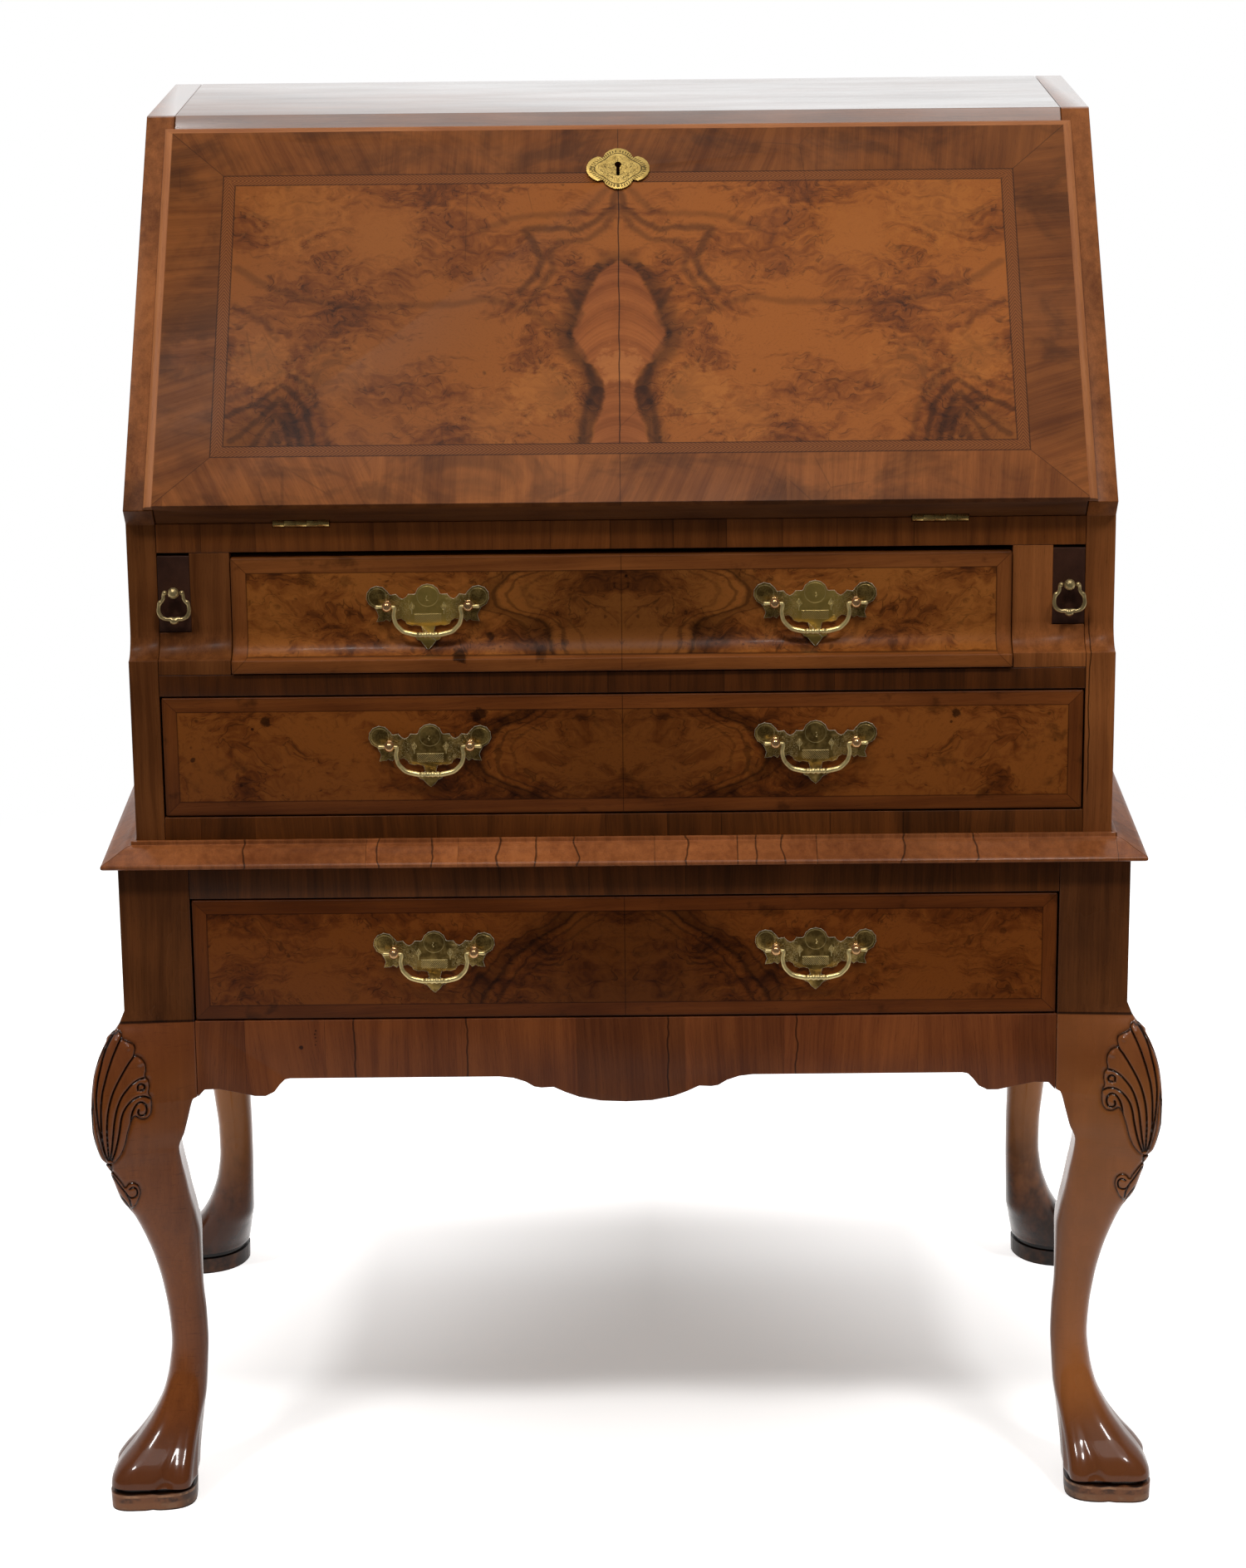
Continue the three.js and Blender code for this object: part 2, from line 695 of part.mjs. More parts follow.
function dustBoard() {
  const under = dustBoardTop - dustBoardThickness;
  const railLow = dustBoardTop - dustRailHeight;
  return alongX([
    [caseFront, railLow], [caseFront + dustRailDepth, railLow],
    [caseFront + dustRailDepth, under], [boardBack, under],
    [boardBack, dustBoardTop], [caseFront, dustBoardTop],
  ], -boardHalfWidth, boardHalfWidth);
}

function caseBack() {
  return box(-boardHalfWidth, boardHalfWidth, backFront, standBack, caseBottom, topUnder - gap);
}

// The fixed writing surface, let in for the hinges along its front edge
function writingDeck() {
  const under = deckHeight - deckBoardThickness;
  const deck = alongX([
    [upperFront, deckRailLow], [upperFront + deckRailDepth, deckRailLow],
    [upperFront + deckRailDepth, under], [boardBack, under],
    [boardBack, deckHeight], [upperFront, deckHeight],
  ], -boardHalfWidth, boardHalfWidth);
  const recesses = [-hingeCentre, hingeCentre].flatMap((centre) => [
    rod(hingeNotchRadius, centre - hingeWidth / 2 - gap, centre + hingeWidth / 2 + gap,
      upperFront, deckHeight, knuckleSides),
    box(centre - hingeWidth / 2 - gap, centre + hingeWidth / 2 + gap, upperFront - gap,
      upperFront + hingeLeafLength + gap, deckHeight - hingeLeafThickness - gap, deckHeight + gap),
  ]);
  return cut(deck, ...recesses);
}

// Stile beside the upper drawer, with the runner under a loper and a hollow guide behind it
function loperHousing(side) {
  const low = dustBoardTop + gap;
  const high = deckRailLow - gap;
  const back = boardBack - housingEndRoom;
  const whole = alongX([
    [caseFront, low], ...coveOutline(0), [upperFront, high], [back, high], [back, low],
  ], openingHalfWidth, boardHalfWidth);
  const channel = box(openingHalfWidth + stileWidth, boardHalfWidth + gap, caseFront - gap, back + gap,
    dustBoardTop + loperFloorHeight, high + gap);
  const hollow = box(openingHalfWidth + partitionWall, openingHalfWidth + stileWidth - partitionWall,
    caseFront + boardThickness + coveSetBack, back + gap, low + partitionWall, high + gap);
  const housing = cut(whole, channel, hollow);
  return side > 0 ? housing : housing.mirror([1, 0, 0]);
}

// Fall, drawn flat with x across, y up the slope and z out of it

function fallBoard() {
  const halfWidth = sideInner - fallSideRoom;
  const lipHalfWidth = sideInner + lipSideOverlap;
  const lipEnd = battenStart + lipOverlap;
  const lipLow = fallThickness - lipHeight;
  const lip = loft(lipShares.map(([inset, rise]) => {
    const x = lipHalfWidth - fallPanelInset * inset;
    const y = lipEnd - fallPanelInset * inset;
    const z = lipLow + lipHeight * rise;
    return [[-x, fallStart], [x, fallStart], [x, y], [-x, y]].map(([a, b]) => new THREE.Vector3(a, b, z));
  }), fromAbove);
  const panelHalfWidth = lipHalfWidth - fallPanelInset;
  const panel = box(-panelHalfWidth, panelHalfWidth, fallStart, lipEnd - fallPanelInset,
    lipLow + lipHeight / 2, fallThickness);
  const body = box(-halfWidth, halfWidth, fallStart, fallEnd, 0, lipLow + lipHeight / 2);
  const lockBed = box(-lockHalfWidth - gap, lockHalfWidth + gap, fallEnd - lockHeight - gap,
    fallEnd + gap, -gap, lockThickness + gap * 2);
  const keyhole = alongZ(keyholeOutline(), 0, fallThickness + gap);
  const hinges = [-hingeCentre, hingeCentre].flatMap((centre) => [
    rod(hingeNotchRadius, centre - hingeWidth / 2 - gap, centre + hingeWidth / 2 + gap,
      0, 0, knuckleSides),
    box(centre - hingeWidth / 2 - gap, centre + hingeWidth / 2 + gap, 0,
      hingeLeafLength + gap, -gap, hingeLeafThickness + gap),
  ]);
  return cut(join(body, lip, panel), lockBed, keyhole, ...hinges);
}

function keyholeOutline() {
  const radius = keyholeWidth / 2;
  const slot = radius * keyholeSlotShare;
  const centre = keyholeCentre + keyholeHeight / 2 - radius;
  const startAngle = -90 + THREE.MathUtils.radToDeg(Math.asin(keyholeSlotShare));
  return [
    ...arc(0, centre, radius, startAngle, 180 - startAngle, arcSteps),
    [-slot, keyholeCentre - keyholeHeight / 2], [slot, keyholeCentre - keyholeHeight / 2],
  ];
}

function fallEscutcheon() {
  const outline = [];
  for (let lobe = 0; lobe < 4; lobe += 1) {
    const turn = lobe * 90;
    const across = (lobe % 2 ? escutcheonHeight : escutcheonWidth) / 2;
    const radius = (escutcheonHeight / 2) * escutcheonLobeShare;
    const middle = THREE.MathUtils.degToRad(turn);
    const reach = across - radius;
    outline.push(...arc(reach * Math.cos(middle), keyholeCentre + reach * Math.sin(middle),
      radius, turn - lobeHalfAngle, turn + lobeHalfAngle, arcSteps));
  }
  const low = fallThickness + gap;
  return alongZ(outline, low, low + escutcheonThickness, [keyholeOutline()]);
}

// The lock lies in the inside of the fall, with a channel for its bolt
function fallLockCase() {
  const end = fallEnd - gap;
  const lock = box(-lockHalfWidth, lockHalfWidth, end - lockHeight + gap, end, gap, gap + lockThickness);
  const channel = box(-boltHalfWidth - gap, boltHalfWidth + gap, end - boltLength - gap * 2,
    end + gap, boltDepth - gap, boltDepth + boltThickness + gap);
  return cut(lock, channel);
}

function fallLockBolt() {
  const end = fallEnd - gap;
  return box(-boltHalfWidth, boltHalfWidth, end - boltLength, end, boltDepth, boltDepth + boltThickness);
}

// Hinges, drawn with the pin on the x axis

function knuckleSpan(index) {
  const pitch = hingeWidth / knuckleCount;
  const left = -hingeWidth / 2 + pitch * index;
  return [left + gap / 2, left + pitch - gap / 2];
}

function knuckles(odd, radius, spread) {
  return Array.from({ length: knuckleCount }, (_, i) => i)
    .filter((i) => i % 2 === odd)
    .map((i) => {
      const [left, right] = knuckleSpan(i);
      return rod(radius, left - spread, right + spread, 0, 0, knuckleSides);
    });
}

function hingeCaseLeaf() {
  const leaf = box(-hingeWidth / 2, hingeWidth / 2, 0, hingeLeafLength, -hingeLeafThickness, 0);
  const pin = rod(hingePinRadius, -hingeWidth / 2 + gap / 2, hingeWidth / 2 - gap / 2, 0, 0, barSides);
  const cleared = cut(leaf, ...knuckles(1, hingeNotchRadius, gap / 2));
  return join(cleared, pin, ...knuckles(0, knuckleRadius, 0));
}

function hingeFallLeaf() {
  const leaf = box(-hingeWidth / 2, hingeWidth / 2, 0, hingeLeafLength, 0, hingeLeafThickness);
  const cleared = cut(leaf, ...knuckles(0, hingeNotchRadius, gap / 2));
  const bore = rod(hingeBoreRadius, -hingeWidth, hingeWidth, 0, 0, knuckleSides);
  return cut(join(cleared, ...knuckles(1, knuckleRadius, 0)), bore);
}

// Drawers

function plainFront(drawer, front) {
  return box(-drawer.halfWidth, drawer.halfWidth, front, front + drawerFrontThickness,
    drawer.low, drawer.high);
}

// The upper drawer's front is coved at its foot like the case
function covedFront() {
  const back = upperFront - drawerProud + drawerFrontThickness;
  return alongX([
    [caseFront - drawerProud, upperDrawer.low], ...coveOutline(drawerProud),
    [upperFront - drawerProud, upperDrawer.high], [back, upperDrawer.high], [back, upperDrawer.low],
  ], -upperDrawer.halfWidth, upperDrawer.halfWidth);
}

function tray(halfWidth, front, back, low, high, wall, floor) {
  const outer = box(-halfWidth, halfWidth, front, back, low, high);
  const inner = box(wall - halfWidth, halfWidth - wall, front + wall, back - wall, low + floor, high + wall);
  return cut(outer, inner);
}

function drawerBox(drawer, front, floorHeight, roomEnd) {
  const low = floorHeight + gap;
  const high = low + (drawer.high - low) * boxHeightShare;
  return tray(drawer.halfWidth - boxSideRoom, front + drawerFrontThickness + gap,
    roomEnd - drawerBackRoom, low, high, drawerWall, drawerFloor);
}

// Drawer pulls, drawn with the plate's back at y = 0 and the posts level with the origin

function plateOutline() {
  const lobe = plateLobeShares;
  const ear = plateEarShares;
  const half = [
    ...arc(0, lobe.height, lobe.radius, plateLobeAngles.start, plateLobeAngles.end, cornerSteps),
    [lobe.side, lobe.sideHeight], ...plateTopShares,
    ...arc(ear.centre, ear.height, ear.radius, plateEarAngles.start, plateEarAngles.end, arcSteps),
    ...plateBottomShares,
  ];
  return mirrored(half.map(([x, z]) => [x * postSpacing, z * postSpacing]));
}

// How far the upper drawer's face comes forward at a height in its cove
function coveReach(height) {
  const below = THREE.MathUtils.clamp((coveTop - height) / coveHeight, 0, 1);
  return coveSetBack * (1 - Math.sqrt(1 - below * below));
}

function bentOverCove(body) {
  return body.warp((point) => {
    point[1] -= coveReach(upperPullHeight + point[2]);
  });
}

function pullPost(x) {
  const neck = new THREE.CylinderGeometry(postNeckRadius, postNeckRadius, postReach, barSides);
  neck.translate(x, -postReach / 2, 0);
  const ball = new THREE.SphereGeometry(postBallRadius, knuckleSides, barSides);
  ball.translate(x, -postReach, 0);
  return join(solid(neck), solid(ball));
}

function pullPlate(coved) {
  const plate = alongY(plateOutline(), -plateThickness, 0);
  const shaped = coved ? bentOverCove(plate) : plate;
  const bore = rod(postBoreRadius, -postSpacing * 2, postSpacing * 2, -postReach, 0, barSides);
  const posts = [-postSpacing, postSpacing].map((x) => cut(pullPost(x), bore));
  return join(shaped, ...posts);
}

// A tapering round bar through points that each carry a radius, in the plane of x and z
function turnedBar(points, sides) {
  const rings = points.map(([x, z, radius], i) => {
    const [beforeX, beforeZ] = points[Math.max(i - 1, 0)];
    const [afterX, afterZ] = points[Math.min(i + 1, points.length - 1)];
    const along = new THREE.Vector2(afterX - beforeX, afterZ - beforeZ).normalize();
    return Array.from({ length: sides }, (_, k) => {
      const turn = (2 * Math.PI * k) / sides;
      const across = radius * Math.cos(turn);
      return new THREE.Vector3(x - along.y * across, radius * Math.sin(turn), z + along.x * across);
    });
  });
  return loft(rings, fromTheSide);
}

function otherHalf(half) {
  return half.slice().reverse().map(([x, z, radius]) => [-x, z, radius]);
}

function bail() {
  const half = bailShares.map(([x, z, width]) => [x * postSpacing, z * postSpacing, width * bailWire]);
  return turnedBar([...half, ...otherHalf(half)], barSides);
}

// Lopers

function loper() {
  const length = boardBack - housingEndRoom - gap - upperFront;
  return box(-loperWidth / 2, loperWidth / 2, 0, length, loperLow, loperHigh);
}

// A turned knob on a neck, bored across for the drop handle's pin
function loperPull() {
  const neck = new THREE.CylinderGeometry(dropNeckRadius, dropNeckRadius, dropPostReach, barSides);
  neck.translate(0, dropPostReach / 2 - gap, 0);
  const knob = new THREE.SphereGeometry(dropKnobRadius, knuckleSides, barSides);
  const bore = rod(dropBoreRadius, -dropKnobRadius * 2, dropKnobRadius * 2, 0, 0, barSides);
  return cut(join(solid(neck), solid(knob)), bore);
}

function loperDrop() {
  const half = dropShares.map(([x, z, width]) => [
    x * dropHalfWidth, z * dropHalfWidth, width * dropWire]);
  const [pinEnd, , pinRadius] = half[0];
  const pin = rod(pinRadius, -pinEnd - gap, pinEnd + gap, 0, 0, barSides);
  return join(turnedBar([...half, ...otherHalf(half)], barSides), pin);
}

// Writing interior

function unitCells(count) {
  const half = boardHalfWidth - gap;
  const pitch = (2 * half - unitWall) / count;
  return Array.from({ length: count }, (_, i) => {
    const left = -half + unitWall + pitch * i;
    return [left, left + pitch - unitWall];
  });
}

function pigeonhole(left, right) {
  const width = right - left;
  const spring = pigeonholeTop - valanceDrop;
  const arch = valanceShares.map(([across, up]) => [right - width * across, spring + valanceDrop * up]);
  return join(
    alongY([[left, pigeonholeFloor], [right, pigeonholeFloor], ...arch],
      unitFront - valanceThickness, unitFront + valanceThickness + gap),
    box(left, right, unitFront + valanceThickness, unitBack, pigeonholeFloor, pigeonholeTop));
}

function pigeonholeUnit() {
  const half = boardHalfWidth - gap;
  const low = deckHeight + gap;
  const whole = box(-half, half, unitFront, boardBack, low, unitTop);
  const holes = unitCells(pigeonholeCount).map(([left, right]) => pigeonhole(left, right));
  const bays = unitCells(smallDrawerCount).map(([left, right]) => (
    box(left, right, unitFront - gap, unitBack, low + unitWall, smallDrawerTop)));
  return cut(whole, ...holes, ...bays);
}

function knob() {
  const turned = new THREE.LatheGeometry(knobShares.map(([radiusShare, lengthShare]) => (
    new THREE.Vector2(knobRadius * radiusShare, knobLength * lengthShare))), turnedSides);
  turned.rotateX(Math.PI);
  return solid(turned);
}

function smallDrawer(left, right) {
  const low = deckHeight + gap + unitWall + gap;
  const high = smallDrawerTop - smallDrawerGap;
  const half = (right - left) / 2 - smallDrawerGap;
  const depth = unitBack - smallDrawerBackRoom - unitFront;
  const middle = (low + high) / 2;
  const whole = box(-half, half, 0, depth, low, high);
  const inside = box(unitWall - half, half - unitWall, smallDrawerFront, depth - unitWall,
    low + unitWall, high + gap);
  return join(cut(whole, inside), knob().translate([0, gap, middle]));
}

// Assembly

const desk = new THREE.Group();

addPiece(desk, 'leg_front_left', leg(frontLegShares, -1, -1), darkWalnut());
addPiece(desk, 'leg_front_right', leg(frontLegShares, 1, -1), darkWalnut());
addPiece(desk, 'leg_back_left', leg(backLegShares, -1, 1), darkWalnut());
addPiece(desk, 'leg_back_right', leg(backLegShares, 1, 1), darkWalnut());
addPiece(desk, 'stand_apron_front', standApronFront(), walnut());
addPiece(desk, 'stand_top_rail', standTopRail(), walnut());
addPiece(desk, 'stand_side_left', standSide(-1), walnut());
addPiece(desk, 'stand_side_right', standSide(1), walnut());
addPiece(desk, 'stand_back', standBackBoard(), oldPine());
addPiece(desk, 'stand_runner_left', standRunner(-1), oldPine());
addPiece(desk, 'stand_runner_right', standRunner(1), oldPine());
addPiece(desk, 'moulding_front', mouldingFront(), redWalnut());
addPiece(desk, 'moulding_left', mouldingSide(-1), redWalnut());
addPiece(desk, 'moulding_right', mouldingSide(1), redWalnut());
addPiece(desk, 'case_side_left', caseSide(-1), walnut());
addPiece(desk, 'case_side_right', caseSide(1), walnut());
addPiece(desk, 'case_top', caseTop(), walnut());
addPiece(desk, 'case_bottom', caseBottomBoard(), walnut());
addPiece(desk, 'case_back', caseBack(), oldPine());
addPiece(desk, 'dust_board', dustBoard(), walnut());
addPiece(desk, 'writing_deck', writingDeck(), walnut());
addPiece(desk, 'loper_housing_left', loperHousing(-1), walnut());
addPiece(desk, 'loper_housing_right', loperHousing(1), walnut());
addPiece(desk, 'pigeonhole_unit', pigeonholeUnit(), walnut());

const fall = new THREE.Group();
fall.position.set(0, upperFront, deckHeight);
fall.rotation.x = slopeRadians;
desk.add(fall);
addPiece(fall, 'fall_front', fallBoard(), burr());
addPiece(fall, 'fall_escutcheon', fallEscutcheon(), brass());
addPiece(fall, 'fall_lock_case', fallLockCase(), iron());
addPiece(fall, 'fall_lock_bolt', fallLockBolt(), iron());

for (const [side, centre] of [['left', -hingeCentre], ['right', hingeCentre]]) {
  const caseLeaf = addPiece(desk, `hinge_${side}_case_leaf`, hingeCaseLeaf(), brass());
  caseLeaf.position.set(centre, upperFront, deckHeight);
  const fallLeaf = addPiece(fall, `hinge_${side}_fall_leaf`, hingeFallLeaf(), brass());
  fallLeaf.position.set(centre, 0, 0);
}

const upperFace = upperFront - drawerProud;
addPiece(desk, 'drawer_front_upper', covedFront(), redWalnut());
addPiece(desk, 'drawer_box_upper', drawerBox(upperDrawer, upperFace, dustBoardTop, boardBack), oldPine());
addPiece(desk, 'drawer_front_lower', plainFront(lowerDrawer, caseFront), redWalnut());
addPiece(desk, 'drawer_box_lower', drawerBox(lowerDrawer, caseFront, bottomBoardTop, boardBack), oldPine());
addPiece(desk, 'drawer_front_stand', plainFront(standDrawer, standFront), redWalnut());
addPiece(desk, 'drawer_box_stand',
  drawerBox(standDrawer, standFront, kneeTop - gap, backBoardFront), oldPine());

const pullRows = [
  ['upper', upperFace, upperPullHeight],
  ['lower', caseFront, lowerPullHeight],
  ['stand', standFront, standPullHeight],
];
for (const [row, face, height] of pullRows) {
  for (const [side, centre] of [['left', -pullCentre], ['right', pullCentre]]) {
    const plate = addPiece(desk, `pull_plate_${row}_${side}`, pullPlate(row === 'upper'), brass());
    plate.position.set(centre, face - gap, height);
    const handle = addPiece(desk, `bail_${row}_${side}`, bail(), brass());
    handle.position.set(centre, face - gap - postReach, height);
  }
}

for (const [side, sign] of [['left', -1], ['right', 1]]) {
  const slide = addPiece(desk, `loper_${side}`, loper(), walnut());
  slide.position.set(sign * loperCentre, upperFront, 0);
  const pull = addPiece(desk, `loper_pull_${side}`, loperPull(), brass());
  pull.position.set(sign * loperCentre, upperFront - dropPostReach, loperPullHeight);
  const drop = addPiece(desk, `loper_ring_${side}`, loperDrop(), brass());
  drop.position.set(sign * loperCentre, upperFront - dropPostReach, loperPullHeight);
}

unitCells(smallDrawerCount).forEach(([left, right], i) => {
  const drawer = addPiece(desk, `interior_drawer_${i + 1}`, smallDrawer(left, right), walnut());
  drawer.position.set((left + right) / 2, unitFront + gap, 0);
});

export default desk;
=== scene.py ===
"""Looks of the slant-front desk: veneers, polish, brasses, carving, light and camera.

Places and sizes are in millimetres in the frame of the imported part, unless a comment says
otherwise, and MM turns them into Blender's metres. Scales of noise are per millimetre.
"""
import json
import math

import bmesh
import bpy
import numpy as np
from mathutils import Euler, Matrix, Vector


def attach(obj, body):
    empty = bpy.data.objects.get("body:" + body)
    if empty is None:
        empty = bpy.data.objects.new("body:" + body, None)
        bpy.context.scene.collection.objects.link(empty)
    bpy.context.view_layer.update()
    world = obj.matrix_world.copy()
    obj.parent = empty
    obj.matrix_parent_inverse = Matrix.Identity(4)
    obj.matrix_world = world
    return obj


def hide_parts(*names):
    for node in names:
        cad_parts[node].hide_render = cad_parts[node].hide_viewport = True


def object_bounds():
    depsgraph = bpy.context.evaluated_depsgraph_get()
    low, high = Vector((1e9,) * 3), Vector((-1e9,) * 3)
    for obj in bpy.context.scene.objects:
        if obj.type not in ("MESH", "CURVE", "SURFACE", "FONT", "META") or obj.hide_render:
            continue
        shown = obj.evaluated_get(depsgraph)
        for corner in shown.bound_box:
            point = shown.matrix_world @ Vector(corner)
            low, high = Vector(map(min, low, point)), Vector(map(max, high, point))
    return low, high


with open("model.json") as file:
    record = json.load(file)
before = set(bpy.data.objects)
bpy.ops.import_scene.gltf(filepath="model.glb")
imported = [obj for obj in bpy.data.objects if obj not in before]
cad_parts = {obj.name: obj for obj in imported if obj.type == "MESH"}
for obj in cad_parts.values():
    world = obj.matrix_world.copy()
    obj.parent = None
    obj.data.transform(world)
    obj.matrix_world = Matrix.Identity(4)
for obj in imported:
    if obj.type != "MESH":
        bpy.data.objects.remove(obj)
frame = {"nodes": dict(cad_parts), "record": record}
cad_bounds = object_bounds()

MM = 0.001
nodes = frame["nodes"]
behaviour = frame["record"]["behaviour"]
body_of_node = {node: body for body, members in behaviour["bodies"].items() for node in members}
joint_place = {
    joint["name"]: np.array(joint["pos_m"]) / MM
    for joint in behaviour["joints"]
    if joint.get("pos_m")
}


def span(node, axis):
    """The least and greatest place of a CAD node along an axis: 0 for x, 1 for y, 2 for z."""
    solid = nodes[node]
    places = [(solid.matrix_world @ Vector(corner))[axis] / MM for corner in solid.bound_box]
    return min(places), max(places)


# Places that the looks take from the part
ROWS = ("upper", "lower", "stand")
ROW_LEVEL = {row: joint_place[f"bail_{row}_right_swing"][2] for row in ROWS}
PULL_X = joint_place["bail_upper_right_swing"][0]
HINGE_Y, HINGE_Z = joint_place["fall_hinge"][1:]
SLOPE = math.sqrt(0.5)

# From a pull's middle to its posts, and from the drawer's face to the pins of the bail
POST_AWAY = 31.75
PIN_REACH = 9.0

# The legs' square posts
POST_OUTER = 400.5
POST_BACK = 256.0
POST_SIZE = 56.0

# The fall's field, feather band and lip, its inside and its keyhole, across and up from the hinge
# line and out of the closed fall
FIELD_HALF = 310.0
FIELD_LOW = 55.0
FIELD_HIGH = 307.5
FEATHER = 9.7
LIP_SIDE = 363.2
LIP_TOP = 361.2
INSIDE_FACE = 19.4
KEYHOLE_UP = 319.9


# Node graphs


class Value:
    """What a node of a graph gives, for use in sums and as an input of other nodes."""

    def __init__(self, graph, socket):
        self.graph = graph
        self.socket = socket

    def __add__(self, other):
        return self.graph.math("ADD", self, other)

    def __sub__(self, other):
        return self.graph.math("SUBTRACT", self, other)

    def __rsub__(self, other):
        return self.graph.math("SUBTRACT", other, self)

    def __mul__(self, other):
        return self.graph.math("MULTIPLY", self, other)

    def __truediv__(self, other):
        return self.graph.math("DIVIDE", self, other)

    def __abs__(self):
        return self.graph.math("ABSOLUTE", self)

    __radd__ = __add__
    __rmul__ = __mul__


class Graph:
    """A node tree that is built by calls, which take and give numbers, colours and values."""

    def __init__(self, tree):
        self.tree = tree
        tree.nodes.clear()

    def feed(self, socket, value):
        if isinstance(value, Value):
            self.tree.links.new(value.socket, socket)
        elif value is not None:
            if socket.type == "RGBA" and len(value) == 3:
                value = (*value, 1.0)
            socket.default_value = value

    def made(self, kind, inputs=(), output=0, **settings):
        """A new node's output. Its inputs come in order, or by number or name."""
        node = self.tree.nodes.new(kind)
        for key, value in settings.items():
            setattr(node, key, value)
        pairs = inputs.items() if isinstance(inputs, dict) else enumerate(inputs)
        for key, value in pairs:
            self.feed(node.inputs[key], value)
        return Value(self, node.outputs[output])

    def end(self, kind, value):
        """Joins a value to a new output node of the tree."""
        self.feed(self.tree.nodes.new(kind).inputs[0], value)

    def math(self, operation, a, b=None):
        return self.made("ShaderNodeMath", (a, b), operation=operation)

    def least(self, a, b):
        return self.math("MINIMUM", a, b)

    def most(self, a, b):
        return self.math("MAXIMUM", a, b)

    def sine(self, a):
        return self.math("SINE", a)

    def away(self, a, b):
        """The length of a step of a and b."""
        return self.math("SQRT", a * a + b * b)

    def vector(self, x, y, z):
        return self.made("ShaderNodeCombineXYZ", (x, y, z))

    def parts(self, value):
        """The three parts of a vector."""
        node = self.tree.nodes.new("ShaderNodeSeparateXYZ")
        self.feed(node.inputs[0], value)
        return [Value(self, part) for part in node.outputs]

    def smooth(self, value, start, end, low=0.0, high=1.0):
        """From low at start to high at end, easing in and out."""
        inputs = (value, start, end, low, high)
        return self.made("ShaderNodeMapRange", inputs, interpolation_type="SMOOTHSTEP")

    def line(self, value, centre, half, soft):
        """1 within half of centre, fading over soft."""
        return self.smooth(abs(value - centre), half + soft, half)

    def between(self, value, low, high, soft):
        """1 from low to high, fading over soft."""
        rising = self.smooth(value, low - soft, low + soft)
        return rising * self.smooth(value, high + soft, high - soft)

    def stretched(self, place, scales):
        """The place's parts times a scale each, or times one scale."""
        if isinstance(scales, float):
            scales = (scales,) * 3
        return self.vector(*(part * scale for part, scale in zip(place, scales)))

    def noise(self, place, scales, detail=2.0, roughness=0.5, distortion=0.0):
        inputs = {
            "Vector": self.stretched(place, scales), "Scale": 1.0, "Detail": detail,
            "Roughness": roughness, "Distortion": distortion,
        }
        return self.made("ShaderNodeTexNoise", inputs, "Fac", noise_dimensions="3D")

    def sway(self, place, scales, reach, detail=2.0, roughness=0.5):
        """Noise about zero, of reach from its least to its greatest."""
        return (self.noise(place, scales, detail, roughness) - 0.5) * reach

    def cells(self, place, scales, feature="F1"):
        """How far a place is from the nearest of many scattered points, or from their cells' edges."""
        inputs = {"Vector": self.stretched(place, scales), "Scale": 1.0}
        return self.made("ShaderNodeTexVoronoi", inputs, "Distance", feature=feature)

    def hashed(self, value):
        """A number from 0 to 1 that stays the same for each whole number."""
        return self.made("ShaderNodeTexWhiteNoise", {"W": value}, "Value", noise_dimensions="1D")

    def curve(self, value, points, start, end, top):
        """A smooth curve through points, over start to end, with heights from 0 to top."""
        node = self.tree.nodes.new("ShaderNodeFloatCurve")
        line = node.mapping.curves[0]
        while len(line.points) < len(points):
            line.points.new(0.5, 0.5)
        for point, (a, b) in zip(line.points, points):
            point.location = ((a - start) / (end - start), b / top)
        node.mapping.update()
        share = self.made("ShaderNodeMapRange", (value, start, end, 0.0, 1.0), clamp=True)
        self.feed(node.inputs["Value"], share)
        return Value(self, node.outputs[0]) * top

    def blend(self, factor, a, b, kind="MIX"):
        """A colour between a and b."""
        settings = {"data_type": "RGBA", "blend_type": kind, "clamp_factor": True}
        return self.made("ShaderNodeMix", {0: factor, 6: a, 7: b}, 2, **settings)

    def choose(self, factor, a, b):
        """A number between a and b."""
        inputs = {0: factor, 2: a, 3: b}
        return self.made("ShaderNodeMix", inputs, data_type="FLOAT", clamp_factor=True)

    def darker(self, colour, factor, strength):
        """The colour times 1 - strength where factor is 1."""
        shade = 1.0 - factor * strength
        return self.blend(1.0, colour, self.vector(shade, shade, shade), "MULTIPLY")

    def ramp(self, factor, stops):
        """A colour between stops, each of a factor and a colour."""
        node = self.tree.nodes.new("ShaderNodeValToRGB")
        elements = node.color_ramp.elements
        while len(elements) < len(stops):
            elements.new(0.5)
        for element, (place, colour) in zip(elements, stops):
            element.position = place
            element.color = (*colour, 1.0)
        self.feed(node.inputs[0], factor)
        return Value(self, node.outputs["Color"])

    def arrow(self, operation, a, b, output=0):
        """A sum of vectors, or with output 1 a number that two vectors give."""
        return self.made("ShaderNodeVectorMath", (a, b), output, operation=operation)

    def near_line(self, place, points):
        """How far a place is from a line of straight pieces."""
        nearest = None
        for (a, b), (c, d) in zip(points[:-1], points[1:]):
            run = Vector((c - a, d - b, 0.0))
            shift = self.arrow("SUBTRACT", place, (a, b, 0.0))
            share = self.arrow("DOT_PRODUCT", shift, run / run.length_squared, 1)
            share = self.least(self.most(share, 0.0), 1.0)
            scaled = self.arrow("MULTIPLY", self.vector(share, share, 0.0), run)
            away = self.arrow("DISTANCE", shift, scaled, 1)
            nearest = away if nearest is None else self.least(nearest, away)
        return nearest

    def bump(self, height, distance, strength):
        inputs = {"Height": height, "Distance": distance, "Strength": strength}
        return self.made("ShaderNodeBump", inputs)

    def ray(self, kind):
        return self.made("ShaderNodeLightPath", output=kind)

